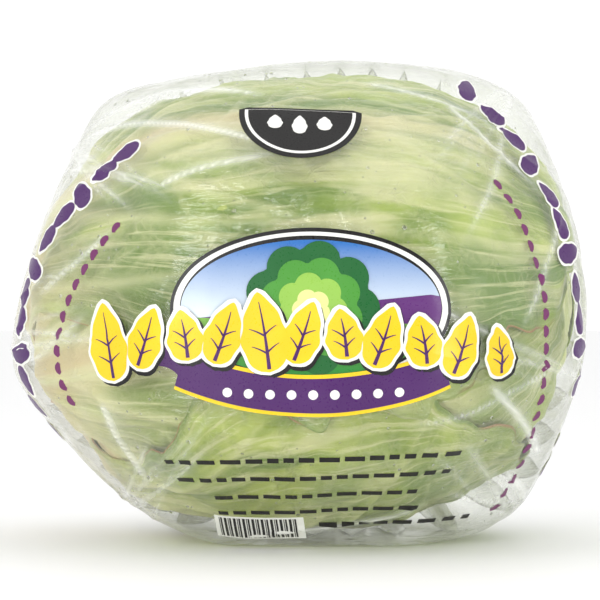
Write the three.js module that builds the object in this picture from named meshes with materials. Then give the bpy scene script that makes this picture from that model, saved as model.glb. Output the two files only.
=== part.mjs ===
// A head of iceberg lettuce lying on its side in its clear printed film wrapper.
// The cut butt points to the left (-X), the front faces -Y, and the wrapper rests flat on Z = 0.
// Millimetres, +Z up, origin at the centre of the bounding box, on the surface it rests on.
import * as THREE from "three";
import { mergeVertices } from "three/addons/utils/BufferGeometryUtils.js";

// ---------------------------------------------------------------- driving sizes
const WIDTH = 190; // wrapped head, left to right
const DEPTH = 160; // wrapped head, front to back, without the gathered tail
const HEIGHT = 159;

const FILM_WALL = 0.5; // stands for the thin film and the air it traps
const FILM_GAP = 1.6; // film to the outermost leaf
const FOOT_SINK = 3; // how far the flexible bottom is pressed flat by the head's weight

const BLADE = 0.9; // leaf blade
const RIB = 1.8; // extra thickness of a midrib at its base
const RIB_HALF_ANGLE = 0.13; // half the midrib's width, in radians about the head's centre
const LEAF_GAP = 2.2; // air between two wrapper leaves
const HEAD_LEAF_GAP = 3.4; // air between two of the thinner, more crumpled head leaves
const STEM_PACKING = 0.5; // share of that air which is gone where the leaves meet the stem
const HEART_GAP = 1.5; // air between the innermost leaf and the heart
const HEART_SHOULDER = 4; // how much the heart draws in towards the stem

const STEM_RADIUS = 16; // cut butt
const BUTT_INSET = 1; // the cut face lies this far under the outermost leaf's level
const CORE_REACH = 0.4; // how deep the core's tip goes into the heart, as a share of its depth
const STEM_CLEARANCE = 1.2;

const NECK_RADIUS = 5; // twisted film neck
const TAPE_WIDTH = 8;
const TAPE_WALL = 1;
const TAPE_CLEARANCE = 0.4;
const TAPE_FLAG = 13; // the tape's stuck-together end
const TAIL_RADIUS = 19; // film fanned out beyond the tape
const TAIL_LENGTH = 6;

const WRAPPER_LEAVES = 7;
const WRAPPER_REACH = 2.9; // butt to tip of a wrapper leaf, in radians about the head's centre
const WRAPPER_HALF_WIDTH = 1.32; // in radians too
const HEAD_LEAVES = 10;
const HEAD_LEAF_REACH = 3.0;
const HEAD_LEAF_HALF_WIDTH = 1.45;
const SECOND_LEAF_CUT = 0.75; // the leaf under the outermost one is this much shorter
const REACH_VARIATION = 0.12;
const HALF_WIDTH_VARIATION = 0.08;
const GOLDEN_ANGLE = THREE.MathUtils.degToRad(137.5);
const OUTERMOST_AZIMUTH = THREE.MathUtils.degToRad(50); // 0 is the front, 90 degrees the top

// Directions from the head's centre.
const BUTT = new THREE.Vector3(-0.95, 0.2, -0.24).normalize();
const GATHER = new THREE.Vector3(0.06, 0.97, -0.2).normalize();

const { cos, sin, acos, asin, atan2, hypot, max, min, abs, PI, tan } = Math;
const smooth = (a, b, x) => THREE.MathUtils.smoothstep(x, a, b);

// ---------------------------------------------------------------- the film's shape
// The film is pulled straight between the head's high points, so it is a polyhedron with soft edges.
// Each facet is the plane where facet . p = 1, with p measured in half widths, depths and heights.
const SIDE_FACETS = [
  [1.0, 0.0], [0.94, 0.3], [0.3, 0.85], [0, 1.0], [-0.25, 0.965], [-0.97, 0.37],
  [-1.01, 0.1], [-0.82, -0.6], [-0.45, -0.86], [0, -1.0], [0.3, -0.85], [0.92, -0.32],
].map(([x, z]) => new THREE.Vector3(x, 0, z));
const FACE_FACETS = [-1, 1].flatMap((y) => [
  new THREE.Vector3(0, y, 0),
  new THREE.Vector3(-0.64, 0.7 * y, 0.02),
  new THREE.Vector3(0.68, 0.66 * y, 0.04),
  new THREE.Vector3(0.03, 0.68 * y, 0.67),
  new THREE.Vector3(-0.02, 0.62 * y, -0.7),
  new THREE.Vector3(-0.6, 0.5 * y, 0.52),
  new THREE.Vector3(0.56, 0.5 * y, 0.55),
  new THREE.Vector3(-0.55, 0.52 * y, -0.56),
  new THREE.Vector3(0.6, 0.5 * y, -0.5),
]);
const FACETS = [...SIDE_FACETS, ...FACE_FACETS];
const EDGE_SHARPNESS = 20;
const HALF = new THREE.Vector3(WIDTH / 2, DEPTH / 2, HEIGHT / 2 + FOOT_SINK / 2);

// The soft polyhedron's radius along a direction, before it is fitted to the overall sizes.
function softRadius(d) {
  const p = d.clone().divide(HALF);
  let sum = 0;
  for (const facet of FACETS) sum += max(0, facet.dot(p)) ** EDGE_SHARPNESS;
  return sum ** (-1 / EDGE_SHARPNESS);
}

// The furthest that the soft polyhedron reaches along an axis, by trying directions near it.
function furthest(axis) {
  let reach = 0;
  const side = new THREE.Vector3(axis.y, axis.z, axis.x);
  const other = new THREE.Vector3().crossVectors(axis, side);
  for (let a = -0.6; a <= 0.6; a += 0.02)
    for (let b = -0.6; b <= 0.6; b += 0.02) {
      const d = axis.clone().addScaledVector(side, a).addScaledVector(other, b).normalize();
      reach = max(reach, d.dot(axis) * softRadius(d));
    }
  return reach;
}
const REACH = [[1, 0, 0], [0, 1, 0], [0, 0, 1]].map(([x, y, z]) => [
  furthest(new THREE.Vector3(x, y, z)),
  furthest(new THREE.Vector3(-x, -y, -z)),
]);

// A point fitted so that the film's body measures WIDTH x DEPTH x HEIGHT (plus the pressed foot).
function fitted(p) {
  const half = [HALF.x, HALF.y, HALF.z];
  const q = p.toArray().map((c, i) => (c * half[i]) / REACH[i][c < 0 ? 1 : 0]);
  return new THREE.Vector3(...q);
}
const filmPoint = (d) => fitted(d.clone().multiplyScalar(softRadius(d)));

// ---------------------------------------------------------------- the head under the film
// The head is rounder than the film: an ellipsoid that stays inside the film's facets.
const ROUND = 18; // how sharply the ellipsoid gives way to the film
function headRadius(d) {
  const inside = filmPoint(d).length() - FILM_WALL - FILM_GAP;
  const e = new THREE.Vector3(d.x / (HALF.x + 1), d.y / (HALF.y - 1), d.z / (HALF.z - 2));
  const floor = d.z < 0 ? (HALF.z - FOOT_SINK - FILM_WALL - FILM_GAP) / -d.z : Infinity;
  const round = 1 / e.length();
  return (inside ** -ROUND + round ** -ROUND + floor ** -ROUND) ** (-1 / ROUND);
}

// ---------------------------------------------------------------- leaves
// A leaf is drawn on a flat map of the head around its own centre: y runs along the midrib,
// away from the butt, and x across it, both in radians.
function frameOf(azimuth, polar) {
  // up is the top of the head seen along the butt's axis; front is towards the viewer
  const up = new THREE.Vector3(0, 0, 1).addScaledVector(BUTT, -BUTT.z).normalize();
  const front = new THREE.Vector3().crossVectors(up, BUTT).normalize();
  if (front.y > 0) front.negate();
  const out = front.multiplyScalar(cos(azimuth)).addScaledVector(up, sin(azimuth));
  const centre = BUTT.clone().multiplyScalar(cos(polar)).addScaledVector(out, sin(polar));
  const along = out.clone().multiplyScalar(cos(polar)).addScaledVector(BUTT, -sin(polar));
  const across = new THREE.Vector3().crossVectors(along, centre);
  return { centre, along, across };
}

const STEM_ANGLE = asin(STEM_RADIUS / (HALF.x - FILM_GAP));

// One leaf's outline: a broad fan on a narrow foot that starts beside the stem.
const LEAF_POLAR = 1.5; // from the butt to the middle of a leaf
const POLAR_VARIATION = 0.06;
const FOOT_CLEARANCE = STEM_CLEARANCE / (HALF.z - BLADE) + 0.02;

function makeLeaf(order, azimuth, reach, halfWidth, gap) {
  const polar = LEAF_POLAR + POLAR_VARIATION * sin(2.1 * order);
  const foot = -(polar - STEM_ANGLE - FOOT_CLEARANCE);
  return {
    ...frameOf(azimuth, polar),
    foot,
    tip: reach - polar,
    halfWidth,
    lobes: 5 + (order % 3),
    phase: 1.7 * order,
    gap,
  };
}

// Half the leaf's width at y: narrow at the foot, widest past the middle, and rounded at the tip.
const FOOT_WIDTH_SHARE = 0.16;
const WIDEST_AT = 0.55;
const TIP_STARTS_AT = 0.45;
const TIP_ROUNDNESS = 2.6;

const alongShare = (leaf, y) => THREE.MathUtils.clamp((y - leaf.foot) / (leaf.tip - leaf.foot), 0, 1);

function halfWidthAt(leaf, y) {
  const s = alongShare(leaf, y);
  const fan = FOOT_WIDTH_SHARE + (1 - FOOT_WIDTH_SHARE) * smooth(0, WIDEST_AT, s);
  const past = max(0, (s - TIP_STARTS_AT) / (1 - TIP_STARTS_AT));
  const end = (1 - past ** TIP_ROUNDNESS) ** (1 / TIP_ROUNDNESS);
  return leaf.halfWidth * fan * end;
}

function direction(leaf, x, y) {
  const r = hypot(x, y);
  const k = r < 1e-9 ? 1 : sin(r) / r;
  return leaf.centre
    .clone()
    .multiplyScalar(cos(r))
    .addScaledVector(leaf.across, k * x)
    .addScaledVector(leaf.along, k * y)
    .normalize();
}

function mapPoint(leaf, d) {
  const r = acos(THREE.MathUtils.clamp(leaf.centre.dot(d), -1, 1));
  const a = atan2(leaf.across.dot(d), leaf.along.dot(d));
  return [r * sin(a), r * cos(a)];
}

// 1 over the leaf and a little beyond its edge, falling smoothly to 0 away from it.
const MARGIN = 0.06;
const FALL = 0.85;
const TIP_ALLOWANCE = 0.25; // the width is taken this far before the tip, where it is still broad
function coverage(leaf, d) {
  const [x, y] = mapPoint(leaf, d);
  const over = abs(x) - halfWidthAt(leaf, THREE.MathUtils.clamp(y, leaf.foot, leaf.tip - TIP_ALLOWANCE));
  const past = max(leaf.foot - y, y - leaf.tip, 0);
  return 1 - smooth(MARGIN, MARGIN + FALL, hypot(max(over, 0), past));
}

// The midrib is widest and thickest at the foot and dies out towards the tip.
function ribAt(leaf, x, y, spread = 0) {
  const s = alongShare(leaf, y);
  const width = RIB_HALF_ANGLE * (1.25 - s) + spread;
  return RIB * (1 - s) ** 1.5 * Math.exp(-((x / width) ** 2));
}

function thickness(leaf, x, y) {
  return BLADE + ribAt(leaf, x, y);
}

// How much room a leaf takes from the leaves inside it. They bend smoothly over its rib.
const RIB_SPREAD = 0.22;
function roomOf(leaf, d) {
  const [x, y] = mapPoint(leaf, d);
  const packing = 1 - smooth(0.2, 1.2, d.angleTo(BUTT));
  const air = leaf.gap * (1 - STEM_PACKING * packing);
  return coverage(leaf, d) * (BLADE + ribAt(leaf, x, y, RIB_SPREAD) + air);
}

// Inner leaves first. Successive leaves stand a golden angle apart round the stem.
const leafCount = HEAD_LEAVES + WRAPPER_LEAVES;
const leaves = Array.from({ length: leafCount }, (_, i) => {
  const inward = leafCount - 1 - i; // 0 for the outermost leaf
  const wrapper = inward < WRAPPER_LEAVES;
  const azimuth = OUTERMOST_AZIMUTH - GOLDEN_ANGLE * inward;
  const cut = inward === 1 ? SECOND_LEAF_CUT : 0;
  const reach = (wrapper ? WRAPPER_REACH : HEAD_LEAF_REACH) - cut;
  const halfWidth = wrapper ? WRAPPER_HALF_WIDTH : HEAD_LEAF_HALF_WIDTH;
  return makeLeaf(
    i,
    azimuth,
    reach + REACH_VARIATION * sin(1.9 * inward + 0.6),
    halfWidth + HALF_WIDTH_VARIATION * cos(2.3 * inward),
    wrapper ? LEAF_GAP : HEAD_LEAF_GAP,
  );
});

// The outer face of leaf number i: the head's surface less the room that the leaves outside it take.
function outerRadius(i, d) {
  let r = headRadius(d);
  for (const leaf of leaves.slice(i + 1)) r -= roomOf(leaf, d);
  return r;
}

// ---------------------------------------------------------------- meshes
// Closed solid from two matching grids of points: the outer face, the inner face and a rim between.
function shellGeometry(outer, inner) {
  const rows = outer.length;
  const columns = outer[0].length;
  const points = [...outer.flat(), ...inner.flat()];
  const index = (side, i, j) => side * rows * columns + i * columns + j;
  const faces = [];
  for (let i = 0; i < rows - 1; i++)
    for (let j = 0; j < columns - 1; j++) {
      // split each cell along its shorter diagonal
      let [a, b, c, d] = [[i, j], [i, j + 1], [i + 1, j + 1], [i + 1, j]];
      if (outer[i][j].distanceTo(outer[i + 1][j + 1]) > outer[i][j + 1].distanceTo(outer[i + 1][j]))
        [a, b, c, d] = [b, c, d, a];
      faces.push([index(0, ...a), index(0, ...b), index(0, ...c)]);
      faces.push([index(0, ...a), index(0, ...c), index(0, ...d)]);
      faces.push([index(1, ...a), index(1, ...c), index(1, ...b)]);
      faces.push([index(1, ...a), index(1, ...d), index(1, ...c)]);
    }
  const rim = [];
  for (let j = 0; j < columns - 1; j++) rim.push([0, j]);
  for (let i = 0; i < rows - 1; i++) rim.push([i, columns - 1]);
  for (let j = columns - 1; j > 0; j--) rim.push([rows - 1, j]);
  for (let i = rows - 1; i > 0; i--) rim.push([i, 0]);
  rim.forEach((here, n) => {
    const next = rim[(n + 1) % rim.length];
    faces.push([index(0, ...here), index(1, ...here), index(1, ...next)]);
    faces.push([index(0, ...here), index(1, ...next), index(0, ...next)]);
  });
  return closedGeometry(points, faces);
}

// Indexed geometry from points and triangles, turned so that its faces point outwards.
function closedGeometry(points, faces) {
  const g = new THREE.BufferGeometry();
  g.setAttribute("position", new THREE.Float32BufferAttribute(points.flatMap((p) => p.toArray()), 3));
  let volume = 0;
  for (const [a, b, c] of faces)
    volume += points[a].dot(new THREE.Vector3().crossVectors(points[b], points[c]));
  g.setIndex(faces.flatMap(([a, b, c]) => (volume < 0 ? [a, c, b] : [a, b, c])));
  const merged = mergeVertices(g, 1e-3);
  merged.computeVertexNormals();
  return merged;
}

const LAST_ROW = 0.985; // as a share of the leaf's length, where its width has nearly closed
const ROW_CROWDING = 1.25; // rows crowd towards the tip, where the outline turns quickly
const EDGE_WAVE = 0.045; // how deep the margin's lobes are, as a share of the half width

function leafGeometry(i, rows, columns) {
  const leaf = leaves[i];
  const outer = [];
  const inner = [];
  for (let r = 0; r <= rows; r++) {
    const s = LAST_ROW * (1 - (1 - r / rows) ** ROW_CROWDING);
    const y = leaf.foot + (leaf.tip - leaf.foot) * s;
    const half = halfWidthAt(leaf, y);
    const outerRow = [];
    const innerRow = [];
    for (let c = 0; c <= columns; c++) {
      const v = (2 * c) / columns - 1;
      const wave = 1 - EDGE_WAVE * s * (1 - cos(leaf.lobes * PI * s + leaf.phase));
      const x = v * half * wave;
      const d = direction(leaf, x, y);
      const radius = outerRadius(i, d);
      outerRow.push(d.clone().multiplyScalar(radius));
      innerRow.push(d.clone().multiplyScalar(radius - thickness(leaf, x, y)));
    }
    outer.push(outerRow);
    inner.push(innerRow);
  }
  return shellGeometry(outer, inner);
}

// A closed surface of rings round an axis, with a point at each end.
function ringedGeometry(start, rings, end) {
  const points = [start, ...rings.flat(), end];
  const n = rings[0].length;
  const at = (ring, j) => 1 + ring * n + (j % n);
  const faces = [];
  for (let j = 0; j < n; j++) {
    faces.push([0, at(0, j), at(0, j + 1)]);
    for (let ring = 0; ring < rings.length - 1; ring++) {
      faces.push([at(ring, j), at(ring + 1, j), at(ring + 1, j + 1)]);
      faces.push([at(ring, j), at(ring + 1, j + 1), at(ring, j + 1)]);
    }
    faces.push([points.length - 1, at(rings.length - 1, j + 1), at(rings.length - 1, j)]);
  }
  return closedGeometry(points, faces);
}

// Unit vectors square to an axis, and a direction at a polar angle from it.
function basisAbout(axis) {
  const a = new THREE.Vector3(0, 0, 1).addScaledVector(axis, -axis.z).normalize();
  return [a, new THREE.Vector3().crossVectors(axis, a)];
}
function directionAbout(axis, polar, turn) {
  const [a, b] = basisAbout(axis);
  return axis
    .clone()
    .multiplyScalar(cos(polar))
    .addScaledVector(a, sin(polar) * cos(turn))
    .addScaledVector(b, sin(polar) * sin(turn));
}
const turns = (n) => Array.from({ length: n }, (_, j) => (2 * PI * j) / n);

// The heart is what is left inside all the leaves. It has a sloping shoulder towards the stem.
const SHOULDER_FROM = 0.3; // from the butt's direction, in radians
const SHOULDER_TO = 1.5;

function heartRadius(d) {
  const shoulder = HEART_SHOULDER * (1 - smooth(SHOULDER_FROM, SHOULDER_TO, d.angleTo(BUTT)));
  return outerRadius(0, d) - roomOf(leaves[0], d) - HEART_GAP - shoulder;
}

// The stem tapers from the cut face into the head, and the heart sits on its tip.
// The cut face lies under the outermost leaf's level at its middle and all round its rim.
const RIM_LEVELS = turns(24).map((t) => {
  const rim = directionAbout(BUTT, STEM_ANGLE, t);
  return headRadius(rim) * rim.dot(BUTT);
});
const BUTT_DISTANCE = min(headRadius(BUTT), ...RIM_LEVELS) - BUTT_INSET;
const HEART_TOP = min(...turns(12).map((t) => heartRadius(directionAbout(BUTT, 1.6 * STEM_ANGLE, t))));
const STEM_TIP = HEART_TOP * (1 - CORE_REACH);

const BUTT_CHAMFER = 2;
const STEM_LOBES = 5;
const STEM_LOBE_DEPTH = 0.05; // as a share of the stem's radius

function stemGeometry() {
  const n = 20;
  // distances from the head's centre, and the share of the full radius there
  const profile = [
    [BUTT_DISTANCE, 0.86],
    [BUTT_DISTANCE - BUTT_CHAMFER, 1],
    [BUTT_DISTANCE - 12, 1],
    [BUTT_DISTANCE - 26, 1],
    [STEM_TIP + 12, 1],
    [STEM_TIP, 0.8],
  ];
  const slope = tan(STEM_ANGLE);
  const rings = profile.map(([distance, share]) =>
    turns(n).map((t) => {
      const [a, b] = basisAbout(BUTT);
      const lobe = 1 + STEM_LOBE_DEPTH * cos(STEM_LOBES * t + distance);
      const radius = distance * slope * share * lobe;
      return BUTT.clone()
        .multiplyScalar(distance)
        .addScaledVector(a, radius * cos(t))
        .addScaledVector(b, radius * sin(t));
    }),
  );
  const start = BUTT.clone().multiplyScalar(BUTT_DISTANCE);
  const end = BUTT.clone().multiplyScalar(STEM_TIP);
  return ringedGeometry(start, rings, end);
}

// The heart is the bud of tight inner leaves, with a pocket for the stem's end.
function heartGeometry() {
  const n = 24;
  const rows = 12;
  const pocket = STEM_TIP - STEM_CLEARANCE;
  const wall = STEM_ANGLE * 1.05 + STEM_CLEARANCE / pocket;
  const rings = [turns(n).map((t) => directionAbout(BUTT, wall, t).multiplyScalar(pocket))];
  for (let i = 0; i <= rows; i++) {
    const polar = wall + 0.06 + (PI - wall - 0.2) * (i / rows);
    rings.push(
      turns(n).map((t) => {
        const d = directionAbout(BUTT, polar, t);
        return d.clone().multiplyScalar(heartRadius(d));
      }),
    );
  }
  const far = BUTT.clone().negate();
  return ringedGeometry(
    BUTT.clone().multiplyScalar(pocket),
    rings,
    far.clone().multiplyScalar(heartRadius(far)),
  );
}

// The film: from the middle of the front, round the head, into the gathered neck and out to the tail.
const GATHER_DISTANCE = filmPoint(GATHER).length();
const NECK_START = GATHER_DISTANCE + 1;
const NECK_LENGTH = TAPE_WIDTH + 1;
const BODY_END_RADIUS = 2.6 * NECK_RADIUS; // the body's last ring, before it runs into the neck
const TAIL_BEND_AT = 0.55; // share of the tail's length where it starts to open widely
const TAIL_BEND_RADIUS = 0.5 * TAIL_RADIUS;

function filmGeometry() {
  const n = 26;
  const rows = 17;
  const lowest = -HALF.z + FOOT_SINK;
  const front = GATHER.clone().negate();
  const [a, b] = basisAbout(front);
  const last = PI - asin(BODY_END_RADIUS / GATHER_DISTANCE);
  const body = (inset) =>
    Array.from({ length: rows }, (_, i) =>
      turns(n).map((t) => {
        const d = directionAbout(front, (last * (i + 1)) / rows, t);
        const p = filmPoint(d);
        p.multiplyScalar(1 - inset / p.length());
        p.z = max(p.z, lowest + inset);
        return p;
      }),
    );
  const ring = (distance, radius) =>
    turns(n).map((t) =>
      GATHER.clone()
        .multiplyScalar(distance)
        .addScaledVector(a, radius * cos(t))
        .addScaledVector(b, radius * sin(t)),
    );
  const end = NECK_START + NECK_LENGTH;
  const neck = (inset) => [
    ring(NECK_START, NECK_RADIUS - inset),
    ring(end, NECK_RADIUS - inset),
    ring(end + TAIL_LENGTH * TAIL_BEND_AT - inset / 2, TAIL_BEND_RADIUS),
    ring(end + TAIL_LENGTH - inset * 1.5, TAIL_RADIUS - inset / 2),
  ];
  const outside = [...body(0), ...neck(0)];
  const inside = [...body(FILM_WALL), ...neck(FILM_WALL)];
  // the tail's outer face looks back at the head, so its inner face lies further out
  for (const k of [1, 2]) {
    const i = outside.length - k;
    inside[i] = inside[i].map((p) => p.clone().addScaledVector(GATHER, 3 * FILM_WALL));
  }
  const start = filmPoint(front);
  const innerStart = start.clone().multiplyScalar(1 - FILM_WALL / start.length());
  return ringedGeometry(start, [...outside, ...inside.reverse()], innerStart);
}

// The tape is a loop round the neck whose ends are stuck together as a flag.
const FLAG_HALF_THICKNESS = 0.9 * TAPE_WALL;

function tapeGeometry() {
  const inner = NECK_RADIUS + TAPE_CLEARANCE;
  const outer = inner + TAPE_WALL;
  const half = FLAG_HALF_THICKNESS;
  const turn = asin(half / outer);
  const outline = new THREE.Shape();
  outline.absarc(0, 0, outer, turn, 2 * PI - turn, false);
  outline.lineTo(outer + TAPE_FLAG, -half);
  outline.lineTo(outer + TAPE_FLAG, half);
  outline.closePath();
  const hole = new THREE.Path();
  hole.absarc(0, 0, inner, 0, 2 * PI, true);
  outline.holes.push(hole);
  const options = { depth: TAPE_WIDTH, bevelEnabled: false, curveSegments: 20 };
  const g = new THREE.ExtrudeGeometry(outline, options);
  g.deleteAttribute("normal");
  g.deleteAttribute("uv");
  return mergeVertices(g, 1e-4);
}

// ---------------------------------------------------------------- the assembled object
const material = (colour, roughness, extra = {}) =>
  new THREE.MeshStandardMaterial({ color: colour, roughness, metalness: 0, ...extra });
const leafGreen = material(0x9db561, 0.5);
const paleGreen = material(0xc6cf8c, 0.5);
const heartYellow = material(0xe6e3b0, 0.5);
const stemCream = material(0xe9dfc4, 0.55);
const clearFilm = material(0xf2f4ee, 0.15, { transparent: true, opacity: 0.25 });
const tapePurple = material(0x5b2c7a, 0.4);

const head = new THREE.Group();
const add = (name, geometry, look) => {
  const mesh = new THREE.Mesh(geometry, look);
  mesh.name = name;
  head.add(mesh);
  return mesh;
};

add("stem", stemGeometry(), stemCream);
add("heart", heartGeometry(), heartYellow);
leaves.forEach((_, i) => {
  const wrapper = i >= HEAD_LEAVES;
  const number = wrapper ? i - HEAD_LEAVES + 1 : i + 1;
  const headName = `head_leaf_${String(number).padStart(2, "0")}`;
  const name = wrapper ? `wrapper_leaf_${number}` : headName;
  add(name, leafGeometry(i, 10, 10), wrapper ? leafGreen : paleGreen);
});
add("film_wrapper", filmGeometry(), clearFilm);
const tape = add("closure_tape", tapeGeometry(), tapePurple);
tape.quaternion.setFromUnitVectors(new THREE.Vector3(0, 0, 1), GATHER);
tape.position.copy(GATHER).multiplyScalar(NECK_START + 0.5);

// Stand it on Z = 0, with the origin under the middle of its bounding box.
const bounds = new THREE.Box3().setFromObject(head, true);
const middle = bounds.getCenter(new THREE.Vector3());
head.position.set(-middle.x, -middle.y, -bounds.min.z);

export default head;
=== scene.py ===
"""A head of iceberg lettuce lying on its side in a clear printed film wrapper. Metres, +Z up.

The cut stem points to -X, the printed front faces -Y, and the film is gathered at the back.
"""
import math

import bpy
import numpy as np
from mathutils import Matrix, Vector


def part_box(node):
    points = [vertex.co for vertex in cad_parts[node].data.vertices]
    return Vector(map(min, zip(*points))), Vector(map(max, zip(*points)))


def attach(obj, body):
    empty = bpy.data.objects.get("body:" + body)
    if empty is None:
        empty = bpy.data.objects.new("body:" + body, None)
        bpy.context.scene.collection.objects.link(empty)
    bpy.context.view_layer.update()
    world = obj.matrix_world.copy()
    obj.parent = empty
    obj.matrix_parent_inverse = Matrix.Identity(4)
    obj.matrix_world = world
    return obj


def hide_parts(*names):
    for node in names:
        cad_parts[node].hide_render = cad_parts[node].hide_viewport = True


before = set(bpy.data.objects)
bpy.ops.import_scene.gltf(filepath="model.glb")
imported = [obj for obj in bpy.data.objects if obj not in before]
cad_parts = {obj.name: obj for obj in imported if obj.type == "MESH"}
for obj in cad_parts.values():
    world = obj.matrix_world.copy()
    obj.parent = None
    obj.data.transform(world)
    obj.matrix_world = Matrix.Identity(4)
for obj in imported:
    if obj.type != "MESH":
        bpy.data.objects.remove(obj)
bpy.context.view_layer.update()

# ---------------------------------------------------------------- stem
# The core that every leaf grows from: firm cream flesh, cut square at the left-hand end.
# The cut face has dried to a tan ring with a paler pith in the middle.

# The leaves grow out of the stem's axis and the film is pulled over all of them, so the head's
# outer form comes first. It is measured from the head's centre.
film_low, film_high = (np.array(corner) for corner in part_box("film_wrapper"))
DEPTH = 0.160  # front to back, without the gathered tail
FOOT_SINK = 0.003  # how far the underside is pressed flat
HALF = np.array([
    (film_high[0] - film_low[0]) / 2,
    DEPTH / 2,
    (film_high[2] - film_low[2] + FOOT_SINK) / 2,
])
CENTRE = np.array([
    (film_high[0] + film_low[0]) / 2,
    film_low[1] + HALF[1],
    film_high[2] - HALF[2],
])
FILM_GAP = 0.0016  # between the film and the leaves' outer level
FILM_WALL = 0.0005


def unit(v):
    v = np.asarray(v, float)
    return v / np.linalg.norm(v, axis=-1, keepdims=True)


def smooth(low, high, x):
    t = np.clip((x - low) / (high - low), 0, 1)
    return t * t * (3 - 2 * t)


BUTT = unit([-0.95, 0.2, -0.24])  # from the centre to the cut face
GATHER = unit([0.06, 0.97, -0.2])  # from the centre to the film's gathered neck

# The film is pulled straight between the head's high points: a polyhedron with soft edges.
side_facets = [
    (1.0, 0.0), (0.94, 0.3), (0.3, 0.85), (0, 1.0), (-0.25, 0.965), (-0.97, 0.37),
    (-1.01, 0.1), (-0.82, -0.6), (-0.45, -0.86), (0, -1.0), (0.3, -0.85), (0.92, -0.32),
]
face_facets = [
    (0, 1, 0), (-0.64, 0.7, 0.02), (0.68, 0.66, 0.04), (0.03, 0.68, 0.67), (-0.02, 0.62, -0.7),
    (-0.6, 0.5, 0.52), (0.56, 0.5, 0.55), (-0.55, 0.52, -0.56), (0.6, 0.5, -0.5),
]
FACETS = np.array(
    [(x, 0, z) for x, z in side_facets]
    + [(x, side * y, z) for side in (-1, 1) for x, y, z in face_facets]
)
EDGE_SHARPNESS = 20  # how sharply one facet turns into the next


def soft_radius(d):
    reach = np.maximum((d / HALF) @ FACETS.T, 0)
    return (reach ** EDGE_SHARPNESS).sum(-1) ** (-1 / EDGE_SHARPNESS)


def spiral_directions(count):
    """Directions spread evenly over a sphere."""
    k = np.arange(count) + 0.5
    z = 1 - 2 * k / count
    turn = k * math.pi * (3 - math.sqrt(5))
    r = np.sqrt(1 - z * z)
    return np.stack([r * np.cos(turn), r * np.sin(turn), z], -1)


everywhere = spiral_directions(40000)
soft_points = everywhere * soft_radius(everywhere)[:, None]
REACH = np.array([-soft_points.min(0), soft_points.max(0)])


def film_point(d):
    """The film's place in direction d, from the head's centre."""
    p = d * soft_radius(d)[..., None]
    return p * HALF / np.where(p < 0, REACH[0], REACH[1])


ROUND = 18  # how sharply the round head gives way to the film


def head_radius(d):
    """The leaves' outer level: an ellipsoid that gives way to the film where the film is flat."""
    inside = np.linalg.norm(film_point(d), axis=-1) - FILM_WALL - FILM_GAP
    round_part = 1 / np.linalg.norm(d / (HALF + [0.001, -0.001, -0.002]), axis=-1)
    foot = HALF[2] - FOOT_SINK - FILM_WALL - FILM_GAP
    floor = np.where(d[..., 2] < -0.01, foot / np.maximum(-d[..., 2], 0.01), 9.0)
    unit_size = HALF[0]
    total = sum((r / unit_size) ** -ROUND for r in (inside, round_part, floor))
    return unit_size * total ** (-1 / ROUND)


def waves(p, wavelength, seed, count=24):
    """Smooth noise between about -1 and 1 at points p: many plane waves, added up."""
    rng = np.random.default_rng(seed)
    turns = unit(rng.normal(size=(count, 3))) * rng.uniform(0.7, 1.4, (count, 1))
    phases = rng.uniform(0, 2 * math.pi, count)
    out = np.zeros(p.shape[:-1])
    for turn, phase in zip(turns, phases):
        out += np.cos(p @ turn * (2 * math.pi / wavelength) + phase)
    return out / math.sqrt(count)


def new_piece(name, points, faces, uv=None, masks=None, around=CENTRE):
    """A smooth-shaded mesh object. uv and masks hold one value for each point."""
    mesh = bpy.data.meshes.new(name)
    mesh.from_pydata((np.asarray(points) + around).tolist(), [], np.asarray(faces).tolist())
    mesh.polygons.foreach_set("use_smooth", [True] * len(mesh.polygons))
    corners = np.empty(len(mesh.loops), np.int32)
    mesh.loops.foreach_get("vertex_index", corners)
    if uv is not None:
        layer = mesh.uv_layers.new(name="UVMap")
        layer.data.foreach_set("uv", np.asarray(uv)[corners].ravel())
    for mask, values in (masks or {}).items():
        attribute = mesh.attributes.new(mask, "FLOAT", "POINT")
        attribute.data.foreach_set("value", np.asarray(values, np.float32).ravel())
    mesh.update()
    piece = bpy.data.objects.new(name, mesh)
    bpy.context.collection.objects.link(piece)
    return piece


def grid_faces(rows, columns, start=0, closed=False):
    """Quads of a grid of points numbered row by row."""
    steps = columns if closed else columns - 1
    i, j = np.meshgrid(np.arange(rows - 1), np.arange(steps), indexing="ij")
    across = (j + 1) % columns
    here, below = i * columns, (i + 1) * columns
    quads = np.stack([here + j, here + across, below + across, below + j], -1)
    return quads.reshape(-1, 4) + start


def basis_about(axis):
    a = unit(np.array([0, 0, 1.0]) - axis[2] * axis)
    return a, np.cross(axis, a)


STEM_RADIUS = 0.016
BUTT_DISTANCE = float(head_radius(BUTT)) - 0.001
STEM_ANGLE = math.asin(STEM_RADIUS / (HALF[0] - FILM_GAP))
STEM_TIP = 0.021  # from the centre to the core's inner end

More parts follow.
